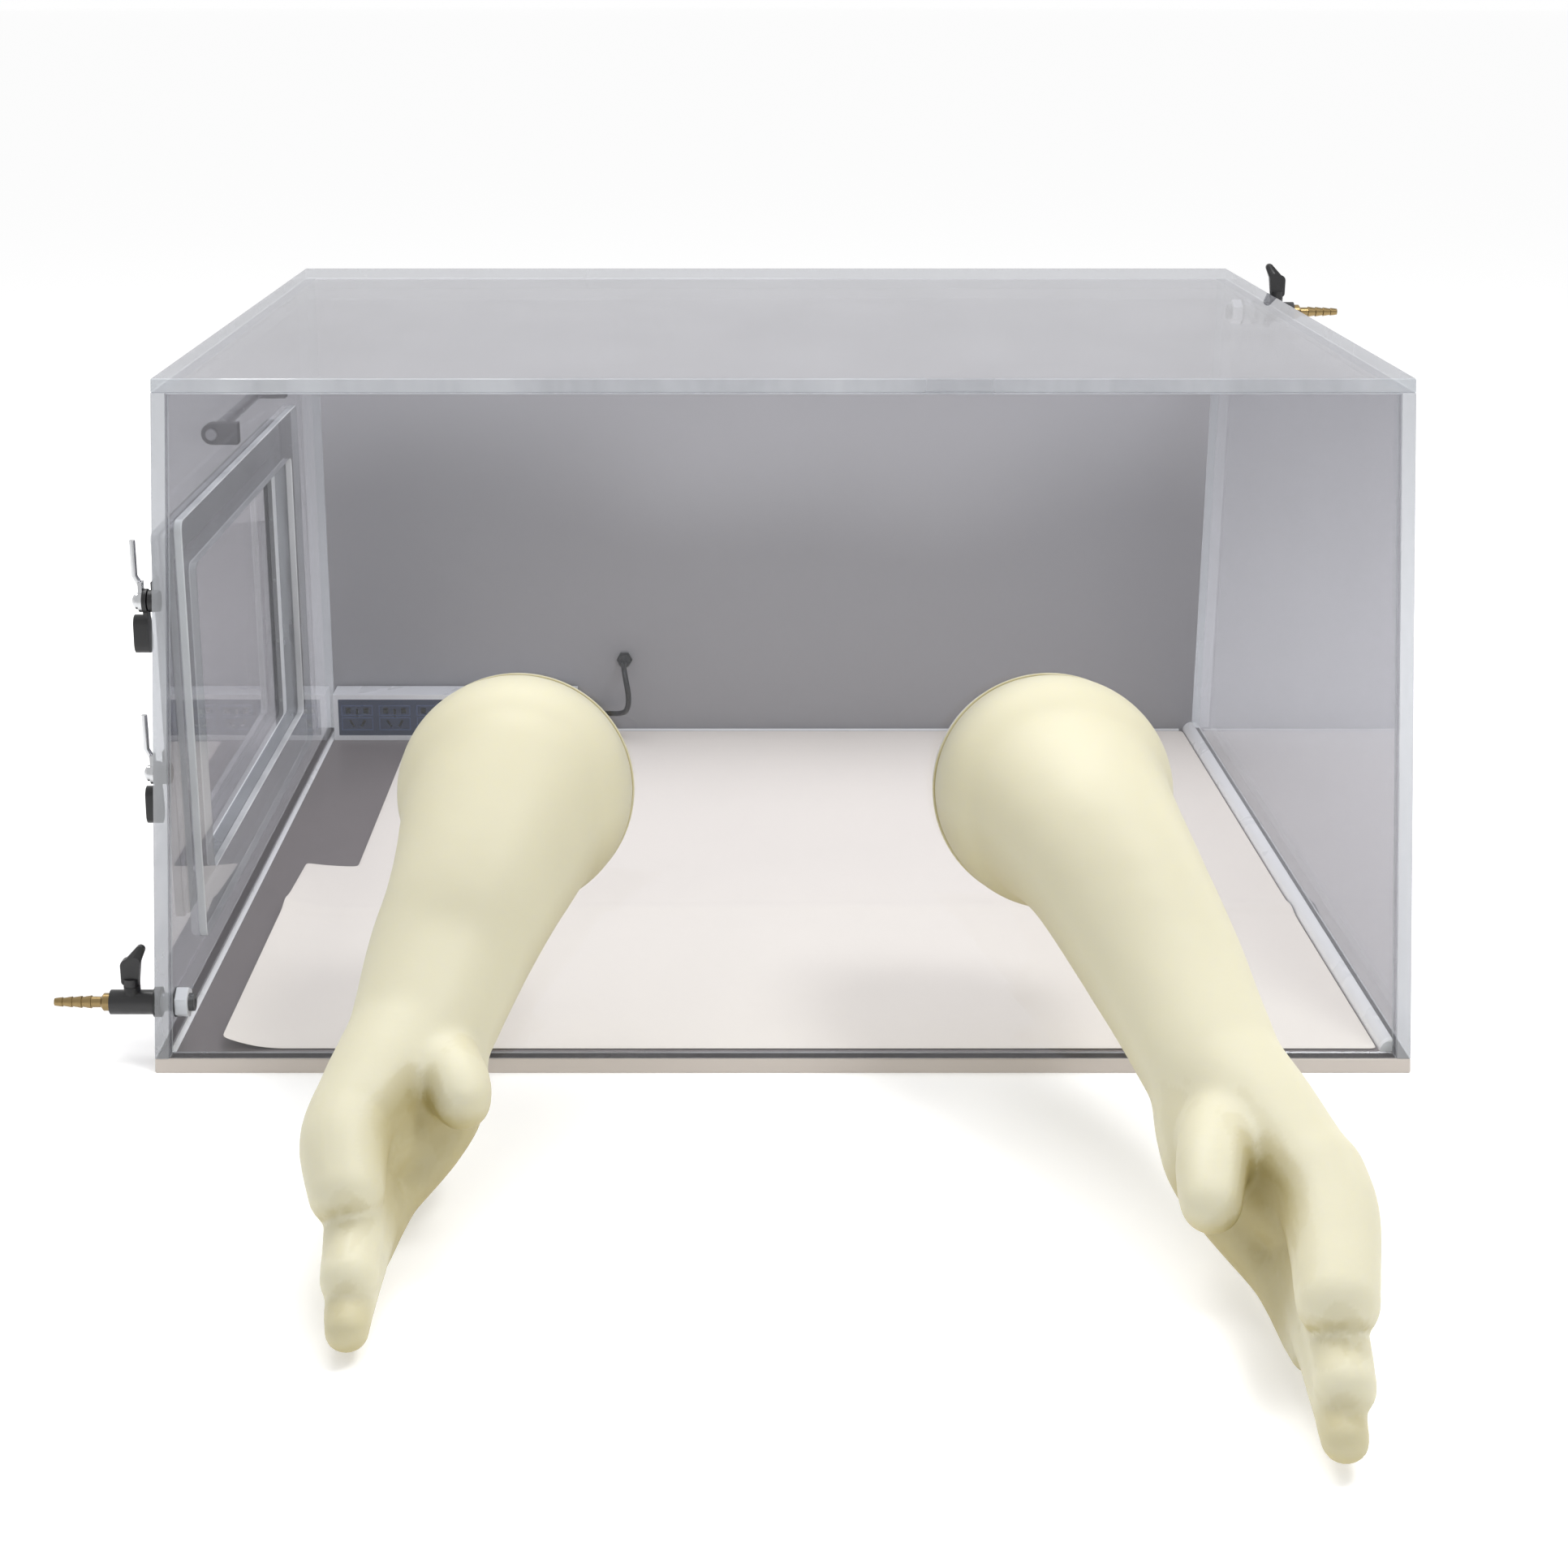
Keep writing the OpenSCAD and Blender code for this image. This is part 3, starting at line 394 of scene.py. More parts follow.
def repeat_tree():
    """Geometry Nodes: the input shape repeated along a line of equal steps."""
    tree = bpy.data.node_groups.new("Row of like pieces", "GeometryNodeTree")
    for label, kind in (("Geometry", "Geometry"), ("Count", "Int"), ("Step", "Vector"),
                        ("Material", "Material")):
        tree.interface.new_socket(label, in_out="INPUT", socket_type="NodeSocket" + kind)
    tree.interface.new_socket("Geometry", in_out="OUTPUT", socket_type="NodeSocketGeometry")
    given = add_node(tree, "NodeGroupInput")
    line = add_node(tree, "GeometryNodeMeshLine", {"mode": "OFFSET"},
                    links={"Count": given.outputs["Count"], "Offset": given.outputs["Step"]})
    spread = add_node(tree, "GeometryNodeInstanceOnPoints",
                      links={"Points": line.outputs["Mesh"], "Instance": given.outputs["Geometry"]})
    real = add_node(tree, "GeometryNodeRealizeInstances", links={"Geometry": spread.outputs["Instances"]})
    coat = add_node(tree, "GeometryNodeSetMaterial", links={"Geometry": real.outputs["Geometry"],
                    "Material": given.outputs["Material"]})
    add_node(tree, "NodeGroupOutput", links={"Geometry": coat.outputs["Geometry"]})
    return tree


def row_of(name, bm, finish, count, step):
    """A row of `count` copies of one shape, each moved on by step."""
    tree = bpy.data.node_groups.get("Row of like pieces") or repeat_tree()
    piece = new_piece(name, bm, [finish])
    row = piece.modifiers.new("Row", "NODES")
    row.node_group = tree
    values = {"Count": count, "Step": step, "Material": FINISH[finish]}
    for item in tree.interface.items_tree:
        if item.in_out == "INPUT" and item.name in values:
            row[item.identifier] = values[item.name]
    baked(piece)
    piece.data.set_sharp_from_angle(angle=math.radians(30))
    return piece


def ring_tube(bm, points, radius, sides):
    """Adds a round tube along points that close in a ring."""
    points = [Vector(p) for p in points]
    count = len(points)
    rings = []
    side = Vector((0.3, 0.1, 1.0))
    for i, point in enumerate(points):
        along = (points[(i + 1) % count] - points[i - 1]).normalized()
        side = (side - along * side.dot(along)).normalized()
        other = along.cross(side)
        rings.append([bm.verts.new(point + radius * (math.cos(a) * side + math.sin(a) * other))
                      for a in (2 * math.pi * k / sides for k in range(sides))])
    for i in range(count):
        a, b = rings[i], rings[(i + 1) % count]
        for k in range(sides):
            bm.faces.new((a[k], a[(k + 1) % sides], b[(k + 1) % sides], b[k]))


def turned(bm, profile, matrix, sides=64):
    """Adds a shape turned about local Z from (radius, height) pairs, placed by a matrix."""
    rings = []
    for radius, height in profile:
        ring = [bm.verts.new(matrix @ Vector((radius * math.cos(a), radius * math.sin(a), height)))
                for a in (2 * math.pi * k / sides for k in range(sides))]
        rings.append(ring)
    for low, high in zip(rings, rings[1:]):
        for k in range(sides):
            bm.faces.new((low[k], low[(k + 1) % sides], high[(k + 1) % sides], high[k]))
    bm.faces.new(list(reversed(rings[0])))
    bm.faces.new(rings[-1])


def spline(points, steps):
    """Points along a smooth curve through the given ones, `steps` to each stretch."""
    p = [Vector(q) for q in points]
    last = len(p) - 1
    out = []
    for i in range(last):
        a, b, c, d = p[max(i - 1, 0)], p[i], p[i + 1], p[min(i + 2, last)]
        for k in range(steps):
            t = k / steps
            out.append(0.5 * (2 * b + (c - a) * t + (2 * a - 5 * b + 4 * c - d) * t * t
                              + (3 * b - a - 3 * c + d) * t ** 3))
    return out + [p[last]]


# ---- The chamber's own frame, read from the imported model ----

FRONT_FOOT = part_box("base_panel")[0].y
LEAN = math.atan((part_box("top_panel")[0].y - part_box("front_panel")[0].y)
                 / (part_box("top_panel")[0].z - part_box("front_panel")[0].z))
FRONT_WAY = Vector((0, -math.cos(LEAN), math.sin(LEAN)))
# Between the ports' centres, and up the front panel to them
PORT_GAP = 0.376
PORT_RISE = 0.205


def at_port(side):
    """Local +Z straight out of the front panel, the origin on its outer face at a port's centre."""
    height = PORT_RISE * math.cos(LEAN)
    centre = Vector((side * PORT_GAP / 2, FRONT_FOOT + height * math.tan(LEAN), height))
    return Matrix.Translation(centre) @ Matrix.Rotation(math.pi / 2 - LEAN, 4, "X")


# ---- Camera, stage and lights ----

LENS = 55.56
SENSOR = 36
LENS_SHIFT = (0.0414, -0.06)
CAMERA_PLACE = (-0.0457, -1.9858, 0.7547)
CAMERA_TILT = math.radians(73.55)
# Name, place, aim, width, height, watts
SOFT_BOXES = (
    ("key", (0.95, -0.95, 2.2), (0.1, -0.3, 0.1), 0.6, 0.6, 19),
    ("overhead", (-0.2, 0.55, 1.9), (0, 0.12, 0.1), 1.5, 0.9, 34),
    ("rim", (2.2, 0.9, 1.2), (0.2, 0, 0.3), 0.8, 1.4, 8),
)
# The round paper floor: its radius, and how far its turned-up rim goes out and up
FLOOR_RADIUS = 60
FLOOR_RIM = (4, 5)


class GLOVEBOX_OT_stage(bpy.types.Operator):
    """Sets up the camera, the pale floor and the soft studio light"""

    bl_idname = "glovebox.stage"
    bl_label = "Camera, floor and lights"

    def execute(self, context):
        scene = context.scene
        lens = bpy.data.cameras.new("camera")
        lens.lens = LENS
        lens.sensor_width = SENSOR
        lens.shift_x, lens.shift_y = LENS_SHIFT
        lens.clip_end = 200
        camera = bpy.data.objects.new("camera", lens)
        camera.location = CAMERA_PLACE
        camera.rotation_euler = (CAMERA_TILT, 0, 0)
        scene.collection.objects.link(camera)
        scene.camera = camera
        scene.view_settings.view_transform = "Standard"

        world = bpy.data.worlds.new("studio")
        world.use_nodes = True
        world.node_tree.nodes["Background"].inputs["Color"].default_value = (1.0, 1.0, 1.0, 1)
        world.node_tree.nodes["Background"].inputs["Strength"].default_value = 0.85
        scene.world = world

        for name, place, aim, width, height, power in SOFT_BOXES:
            data = bpy.data.lights.new(name, "AREA")
            data.shape = "RECTANGLE"
            data.size = width
            data.size_y = height
            data.energy = power
            lamp = bpy.data.objects.new(name, data)
            lamp.location = place
            lamp.rotation_euler = (Vector(aim) - Vector(place)).to_track_quat("-Z", "Y").to_euler()
            scene.collection.objects.link(lamp)

        bm = bmesh.new()
        bmesh.ops.create_circle(bm, cap_ends=True, radius=FLOOR_RADIUS, segments=96)
        # The paper turns up at its far rim, so that it meets the view's horizon
        rim = bmesh.ops.extrude_edge_only(bm, edges=[e for e in bm.edges if e.is_boundary])
        for vertex in (v for v in rim["geom"] if isinstance(v, bmesh.types.BMVert)):
            outward = Vector((vertex.co.x, vertex.co.y, 0)).normalized()
            vertex.co += outward * FLOOR_RIM[0] + Vector((0, 0, FLOOR_RIM[1]))
        floor = bpy.data.meshes.new("floor")
        bm.to_mesh(floor)
        bm.free()
        material, tree, out, _ = start_material("pale_backdrop_paper")
        # Backlit pale paper: a little light of its own keeps the far floor white
        paper = add_node(tree, "ShaderNodeBsdfPrincipled", inputs={
            "Base Color": (0.93, 0.93, 0.93, 1), "Roughness": 1.0, "Specular IOR Level": 0.0,
            "Emission Color": (1, 1, 1, 1), "Emission Strength": 0.18})
        tree.links.new(paper.outputs[0], out.inputs["Surface"])
        floor.materials.append(material)
        ground = bpy.data.objects.new("floor", floor)
        scene.collection.objects.link(ground)
        return {"FINISHED"}


# ---- Supply lead ----

LEAD_ROUTE = [(-170, 372, 34), (-158, 371, 34), (-147, 364, 36), (-140, 353, 42), (-137, 345, 52),
              (-137, 342, 64), (-139, 345, 75), (-141, 354, 83), (-142, 364, 86), (-142, 372, 86)]
LEAD_RADIUS = 2.75 * MM


class GLOVEBOX_OT_lead(bpy.types.Operator):
    """Lays the strip's supply lead from its strain relief to the gland on the rear panel"""

    bl_idname = "glovebox.lead"
    bl_label = "Supply lead"

    def execute(self, context):
        make_finishes()
        route = [p * MM for p in spline(LEAD_ROUTE, sizes().lead_steps)]
        curve = bpy.data.curves.new("supply_lead_sheath", "CURVE")
        curve.dimensions = "3D"
        curve.bevel_depth = LEAD_RADIUS
        curve.bevel_resolution = 5
        curve.use_fill_caps = True
        line = curve.splines.new("POLY")
        line.points.add(len(route) - 1)
        for point, place in zip(line.points, route):
            point.co = (*place, 1)
        curve.materials.append(FINISH["lead"])
        lead = bpy.data.objects.new("supply_lead_sheath", curve)
        context.scene.collection.objects.link(lead)
        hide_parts("supply_lead")
        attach(lead, "chamber")

        relief = finished_node("strip_strain_relief", "chamber", "lead", 0.3 * MM)
        gland = finished_node("lead_gland", "chamber", "black_plastic", 0.5 * MM)
        return {"FINISHED"}


# ---- Chamber ----


class GLOVEBOX_OT_chamber(bpy.types.Operator):
    """Finishes the acrylic panels, the base board and the sealant"""

    bl_idname = "glovebox.chamber"
    bl_label = "Chamber panels"

    def execute(self, context):
        cut = sizes().edge_ease
        finished_node("base_panel", "chamber", "base", cut, across=(0, 0, 1), edge="base_edge")
        finished_node("front_panel", "chamber", "clear", cut, across=FRONT_WAY)
        finished_node("rear_panel", "chamber", "rear", cut)
        finished_node("left_panel", "chamber", "smoke", cut, across=(1, 0, 0))
        finished_node("right_panel", "chamber", "smoke", cut, across=(1, 0, 0))
        finished_node("top_panel", "chamber", "top", cut, across=(0, 0, 1))
        finished_node("door_frame", "chamber", "frame", cut, across=(1, 0, 0), edge="bright_edge")
        finished_node("floor_bead", "chamber", "sealant", 0)
        finished_node("thin_seal_beads", "chamber", "sealant", 0)
        return {"FINISHED"}


# ---- Floor liner ----


class GLOVEBOX_OT_liner(bpy.types.Operator):
    """Lays the floor liner, with its crossing fold and its curled front corner"""

    bl_idname = "glovebox.liner"
    bl_label = "Floor liner"

    def execute(self, context):
        low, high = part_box("floor_liner")
        strip_low, strip_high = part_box("strip_shell")
        curl_x = -360 * MM
        curl_back = -15 * MM
        curl_radius = 110 * MM
        notch_x = strip_high.x + 24 * MM
        notch_y = strip_low.y - 6 * MM
        step = 7.6 * MM
        flap = curl_radius * math.radians(24)
        fold_y = -112 * MM
        cells_x = round((high.x - curl_x) / step)
        cells_y = round((high.y - low.y) / step)
        flap_cells = 7

        def column(i):
            """Distance along the sheet from the curl's line, left of it below zero."""
            return (high.x - curl_x) * i / cells_x if i >= 0 else flap * i / flap_cells

        def lift(x, y):
            """How far the sheet stands off the board: a fold across it, and a very slow buckle."""
            fold = math.exp(-(((y - fold_y - 0.012 * x) / (11 * MM)) ** 2))
            slow = 0.5 + 0.5 * noise.noise(Vector((x * 5, y * 5, 4)))
            rim = min(1.0, (high.x - x) / 0.03, (y - low.y) / 0.03 + 0.3, (high.y - y) / 0.03)
            return sizes().liner_fold * fold + 1.1 * MM * slow * max(0.0, rim)

        bm = bmesh.new()
        grid = {}
        for i in range(-flap_cells, cells_x + 1):
            for j in range(cells_y + 1):
                y = low.y + (high.y - low.y) * j / cells_y
                along = column(i)
                if i < 0 and y > curl_back + step:
                    continue
                angle = max(0.0, -along) / curl_radius
                x = curl_x + along if along >= 0 else curl_x - curl_radius * math.sin(angle)
                # The curl opens towards the front corner and dies away at its back end
                reach = min(1.0, max(0.0, (curl_back - y) / 0.09))
                rise = curl_radius * (1 - math.cos(angle)) * (0.35 + 0.65 * reach)
                grid[i, j] = bm.verts.new((x, y, low.z + 0.1 * MM + rise + lift(x, y)))
        for i, j in list(grid):
            corners = [(i, j), (i + 1, j), (i + 1, j + 1), (i, j + 1)]
            if not all(c in grid for c in corners):
                continue
            middle = sum((grid[c].co for c in corners), Vector()) / 4
            if middle.x < notch_x and middle.y > notch_y:
                continue
            bm.faces.new([grid[c] for c in corners])
        bmesh.ops.delete(bm, geom=[v for v in bm.verts if not v.link_faces], context="VERTS")
        piece = new_piece("floor_liner_sheet", bm, ["liner"])
        wall = piece.modifiers.new("Thickness", "SOLIDIFY")
        wall.thickness = 1.2 * MM
        wall.offset = 1
        smooth = piece.modifiers.new("Smooth", "SUBSURF")
        smooth.levels = 1
        smooth.render_levels = 1
        baked(piece)
        piece.data.set_sharp_from_angle(angle=math.radians(50))
        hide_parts("floor_liner")
        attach(piece, "chamber")
        return {"FINISHED"}


# ---- Glove ports ----


class GLOVEBOX_OT_ports(bpy.types.Operator):
    """Finishes the port collars, their lock rings, gaskets and O-rings"""

    bl_idname = "glovebox.ports"
    bl_label = "Glove ports"

    def execute(self, context):
        finished_node("port_collar_left", "chamber", "collar", 0.5 * MM)
        finished_node("port_collar_right", "chamber", "collar", 0.5 * MM)
        finished_node("collar_lock_rings", "chamber", "collar", 0.6 * MM)
        wear("collar_gaskets", "black_rubber")
        finished_node("cuff_o_rings", "chamber", "black_rubber", 0)
        return {"FINISHED"}


# ---- Gloves ----

# Each glove as chains of balls, centre and radius in millimetres
LEFT_HAND = {
    "sleeve": [((-209, -476, 166), 58), ((-224, -512, 136), 53), ((-238, -570, 104), 45)],
    "palm": [((-238, -570, 104), 44), ((-256, -615, 94), 36), ((-270, -650, 86), 28)],
    "heel": [((-238, -574, 100), 42), ((-226, -592, 68), 32), ((-246, -650, 34), 16)],
    "web": [((-226, -592, 74), 31), ((-264, -655, 62), 23), ((-250, -665, 32), 15)],
    "index": [((-268, -642, 88), 29), ((-271, -668, 80), 27), ((-266, -698, 66), 23)],
    "middle": [((-262, -672, 54), 20), ((-260, -725, 41), 17.5), ((-258, -749, 37), 17)],
    "ring": [((-255, -680, 38), 18), ((-257, -750, 25), 15), ((-256, -776, 20), 13)],
    "little": [((-247, -655, 30), 15), ((-254, -700, 22), 12)],
    "thumb": [((-222, -596, 98), 27), ((-207, -628, 101), 22), ((-202, -643, 97), 19.5)],
}
RIGHT_HAND = {
    "sleeve": [((208, -480, 196), 59), ((239, -560, 146), 50), ((258, -632, 111), 43)],
    "palm": [((258, -632, 111), 42), ((280, -690, 100), 35), ((297, -738, 91), 28)],
    "heel": [((258, -636, 106), 40), ((252, -680, 72), 31), ((274, -736, 34), 16)],
    "web": [((252, -680, 78), 31), ((294, -745, 65), 23), ((278, -752, 34), 15)],
    "index": [((297, -732, 93), 29), ((299, -764, 83), 27), ((289, -824, 67), 23)],
    "middle": [((294, -762, 56), 20), ((289, -835, 44), 17.5), ((285, -864, 40), 17)],
    "ring": [((288, -765, 40), 18), ((284, -850, 28), 15), ((281, -885, 22), 13)],
    "little": [((277, -748, 31), 15), ((283, -802, 22), 12)],
    "thumb": [((250, -694, 99), 26), ((236, -736, 101), 21.5), ((230, -766, 94), 18.5)],
}
# The middle of each palm and the way it faces, round which the palm side gets painted shade
LEFT_PALM = ((-236, -640, 48), (0.75, -0.3, -0.6))
RIGHT_PALM = ((262, -732, 48), (-0.75, -0.3, -0.6))
# Balls along each stretch of a chain
BALLS = 12
# The ball inside the cuff, which fills it out: its distance from the panel and its radius
SHOULDER_OUT = 45
SHOULDER_RADIUS = 75
CUFF_END = 10
CUFF_RADIUS = 81.0
# The folded-over cuff: radius and distance out from the panel; it swells over the two hidden O-rings
CUFF_PROFILE = [(60, 0), (80.6, 0), (80.8, 20), (81.5, 28), (81.0, 36), (81.5, 44), (81.2, 50), (80.4, 57),
                (78.4, 65), (75.0, 73), (70, 81), (63, 88), (52, 94)]


def glove_solid(side, hand):
    """A closed mesh of overlapping balls and a turned cuff, all of one glove."""
    bm = bmesh.new()
    port = at_port(side)
    turned(bm, [(r * MM, z * MM) for r, z in CUFF_PROFILE], port, sides=96)
    shoulder = port @ Vector((0, 0, SHOULDER_OUT * MM)) / MM
    sleeve = [(tuple(shoulder), SHOULDER_RADIUS)] + hand["sleeve"]
    for key, chain in hand.items():
        chain = sleeve if key == "sleeve" else chain
        line = spline([c for c, r in chain], BALLS)
        girth = spline([(r, 0, 0) for c, r in chain], BALLS)
        for centre, radius in zip(line, girth):
            bmesh.ops.create_icosphere(bm, subdivisions=4 if radius.x > 35 else 3, radius=radius.x * MM,
                                       matrix=Matrix.Translation(centre * MM))
    return bm


def make_glove(side, hand, palm, node, name):
    """One dipped latex glove: drawn together, smoothed, trimmed at its cuff and given its wall."""
    piece = new_piece(name, glove_solid(side, hand), ["latex"])
    grid = piece.modifiers.new("Together", "REMESH")
    grid.mode = "VOXEL"
    grid.voxel_size = sizes().glove_voxel
    baked(piece)
    soft = piece.vertex_groups.new(name="hand_back")
    fingers = [(Vector(c) * MM, r * MM) for key in ("index", "middle", "ring", "little")
               for c, r in hand[key][1:]]
    port = at_port(side)
    inward = port.inverted()
    for vertex in piece.data.vertices:
        near = min((vertex.co - c).length - r for c, r in fingers)
        height = (inward @ vertex.co).z
        weight = min(1.0, max(0.0, (near - 0.004) / 0.03)) * min(1.0, max(0.15, (height - 0.045) / 0.03))
        soft.add([vertex.index], weight, "REPLACE")
    blend = piece.modifiers.new("Blend", "SMOOTH")
    blend.factor = 0.5
    blend.iterations = 60
    blend.vertex_group = "hand_back"
    even = piece.modifiers.new("Even", "SMOOTH")
    even.factor = 0.5
    even.iterations = 1
    baked(piece)
    bm = bmesh.new()
    bm.from_mesh(piece.data)
    # Slow unevenness of a dipped skin
    for vertex in bm.verts:
        swell = noise.noise(vertex.co * 14) * 0.9 * MM + noise.noise(vertex.co * 45) * 0.25 * MM
        vertex.co += vertex.normal * swell * min(1.0, max(0.0, ((inward @ vertex.co).z - 0.06) / 0.04))
    trim = port @ Vector((0, 0, CUFF_END * MM))
    bmesh.ops.bisect_plane(bm, geom=list(bm.verts) + list(bm.edges) + list(bm.faces), dist=1e-6,
                           plane_co=trim, plane_no=FRONT_WAY, clear_inner=True)
    bm.to_mesh(piece.data)
    bm.free()
    wall = piece.modifiers.new("Wall", "SOLIDIFY")
    wall.thickness = sizes().latex_wall
    wall.offset = -1
    baked(piece)
    # The rolled bead at the cuff's end
    bm = bmesh.new()
    bm.from_mesh(piece.data)
    bead = [port @ Vector(((CUFF_RADIUS - 0.4) * MM * math.cos(a), (CUFF_RADIUS - 0.4) * MM * math.sin(a),
                           (CUFF_END + 0.8) * MM)) for a in (2 * math.pi * k / 96 for k in range(96))]
    ring_tube(bm, bead, 1.7 * MM, 12)
    bm.to_mesh(piece.data)
    bm.free()
    # Painted shade, stored on the points: creases, undersides, the palm side and the ring finger's tip
    paint_shade_amounts(piece.data, palm, hand["ring"][-1][0])
    piece.data.shade_smooth()
    piece.data.set_sharp_from_angle(angle=math.radians(60))
    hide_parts(node)
    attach(piece, "chamber")
    return piece


def smooth_fall(far, start, end):
    """1 up to start, 0 past end, and an even slope with rounded ends between them."""
    left = min(1.0, max(0.0, (end - far) / (end - start)))
    return left * left * (3 - 2 * left)


def paint_shade_amounts(mesh, palm, tip):
    """Stores on each point how much painted shade it gets, from 0 in the open to 1 in a crease. Points that
    face down, the inside of the palm and the finger tip it is given get painted shade too."""
    middle, way = (Vector(given) for given in palm)
    tip = Vector(tip)
    tree = BVHTree.FromPolygons([v.co for v in mesh.vertices], [p.vertices for p in mesh.polygons])
    rays = 14
    reach = 70 * MM
    turn = math.pi * (3 - math.sqrt(5))
    fan = []
    for k in range(rays):
        height = 0.25 + 0.75 * (k + 0.5) / rays
        flat = math.sqrt(1 - height * height)
        fan.append(Vector((flat * math.cos(k * turn), flat * math.sin(k * turn), height)))
    shade_amount = []
    for vertex in mesh.vertices:
        up = vertex.normal
        face = up.to_track_quat("Z", "Y")
        start = vertex.co + up * 1.5 * MM
        found = 0.0
        for ray in fan:
            hit = tree.ray_cast(start, face @ ray, reach)
            if hit[0] is not None:
                found += 1 - hit[3] / reach * 0.7
        # Painted shade on what faces down, as what hangs over the bench sees little light from below
        found += rays * 0.35 * max(0.0, -up.z)
        at = vertex.co / MM
        # Painted shade on the palm side and round the finger tip
        palm_and_tip_shade = smooth_fall((at - middle).length, 45, 85) * max(0.0, up.dot(way)) ** 0.6
        palm_and_tip_shade = max(0.85 * palm_and_tip_shade, 0.5 * smooth_fall((at - tip).length, 8, 30))
        shade_amount.append(min(1.0, found / rays * 2.5 * (1 - palm_and_tip_shade) + palm_and_tip_shade))
    mesh.attributes.new("painted_shade", "FLOAT", "POINT").data.foreach_set("value", shade_amount)


class GLOVEBOX_OT_gloves(bpy.types.Operator):
    """Makes the two long latex gloves that hang out of the ports"""

    bl_idname = "glovebox.gloves"
    bl_label = "Gloves"

    def execute(self, context):
        make_glove(-1, LEFT_HAND, LEFT_PALM, "glove_left", "glove_left_latex")
        make_glove(1, RIGHT_HAND, RIGHT_PALM, "glove_right", "glove_right_latex")
        return {"FINISHED"}


# ---- Door, hinge and latches ----

HINGE_SCREWS = 5
SCREW_HEAD = 3.4


def screw_shape(matrix, shank):
    """A pan-head screw with a round socket, its head's seat at the origin, pointing along local +Z."""
    head = SCREW_HEAD
    depth = 1.9
    shank_radius = 1.55
    bm = bmesh.new()
    profile = [(0.4, shank), (shank_radius, shank - 0.8), (shank_radius, 0.0), (head, 0.0),
               (head, -depth * 0.55), (head * 0.86, -depth * 0.88), (head * 0.62, -depth),
               (1.7, -depth), (1.55, -depth * 0.35), (0.3, -depth * 0.35)]
    turned(bm, [(r * MM, z * MM) for r, z in profile], matrix, sides=24)
    bmesh.ops.recalc_face_normals(bm, faces=bm.faces)
    return bm


def screw_row(node, body, name):
    """The row of hinge screws that stands where the CAD node's screws are."""
    low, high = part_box(node)
    head = SCREW_HEAD * MM
    first = Vector((low.x + 1.8 * MM, (low.y + high.y) / 2, low.z + head))
    step = (high.z - low.z - 2 * head) / (HINGE_SCREWS - 1)
    aim = Matrix.Translation(first) @ Matrix.Rotation(math.pi / 2, 4, "Y")
    bm = screw_shape(aim, shank=(high.x - low.x) / MM - 2)
    piece = row_of(name, bm, "steel", HINGE_SCREWS, (0, 0, step))
    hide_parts(node)
    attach(piece, body)


class GLOVEBOX_OT_door(bpy.types.Operator):
    """Finishes the side door, its gasket, strikes and continuous hinge"""

    bl_idname = "glovebox.door"
    bl_label = "Side door"

    def execute(self, context):
        finished_node("door_panel", "door", "door", sizes().edge_ease, across=(1, 0, 0),
                      edge="bright_edge")
        finished_node("door_gasket", "door", "gasket", 0.4 * MM)
        finished_node("door_strikes", "door", "black_plastic", 0.4 * MM)
        finished_node("hinge_leaf_wall", "chamber", "black_metal", 0.25 * MM)
        finished_node("hinge_leaf_door", "door", "black_metal", 0.25 * MM)
        finished_node("hinge_pin", "chamber", "steel", 0.2 * MM)
        screw_row("hinge_screws_wall", "chamber", "hinge_screws_wall_row")
        screw_row("hinge_screws_door", "door", "hinge_screws_door_row")
        return {"FINISHED"}


class GLOVEBOX_OT_latches(bpy.types.Operator):
    """Finishes the two swing latches and the side handle"""

    bl_idname = "glovebox.latches"
    bl_label = "Latches and handle"

    def execute(self, context):
        finished_node("latch_posts", "chamber", "black_plastic", 0.5 * MM)
        finished_node("latch_cap_nuts", "chamber", "steel", 0.3 * MM)
        for which in ("upper", "lower"):
            body = which + "_latch"
            finished_node("latch_arm_" + which, body, "steel", 0.3 * MM)
            finished_node("latch_grip_" + which, body, "black_plastic", 0.5 * MM)
        finished_node("handle_posts", "chamber", "black_plastic", 0.8 * MM)
        finished_node("handle_bar", "chamber", "steel", 0.6 * MM)
        return {"FINISHED"}


# ---- Purge valves ----


class GLOVEBOX_OT_valves(bpy.types.Operator):
    """Finishes the two purge valves with their barbs, levers, nuts and washers"""

    bl_idname = "glovebox.valves"
    bl_label = "Purge valves"

    def execute(self, context):
        for side in ("left", "right"):
            valve = side + "_valve_"
            finished_node(valve + "body", "chamber", "black_plastic", 0.4 * MM)
            finished_node(valve + "barb", "chamber", "brass", 0.15 * MM)
            finished_node(valve + "lever", valve + "spindle", "black_plastic", 0.4 * MM)
            finished_node(valve + "nut", "chamber", "white_plastic", 0.5 * MM)
            finished_node(valve + "washer", "chamber", "black_rubber", 0.15 * MM)
            wear(valve + "ball", "brass")
        return {"FINISHED"}


# ---- Power strip and inlet ----

OUTLETS = 5
OUTLET_INSET = 24 * MM
OUTLET_STEP = 38 * MM


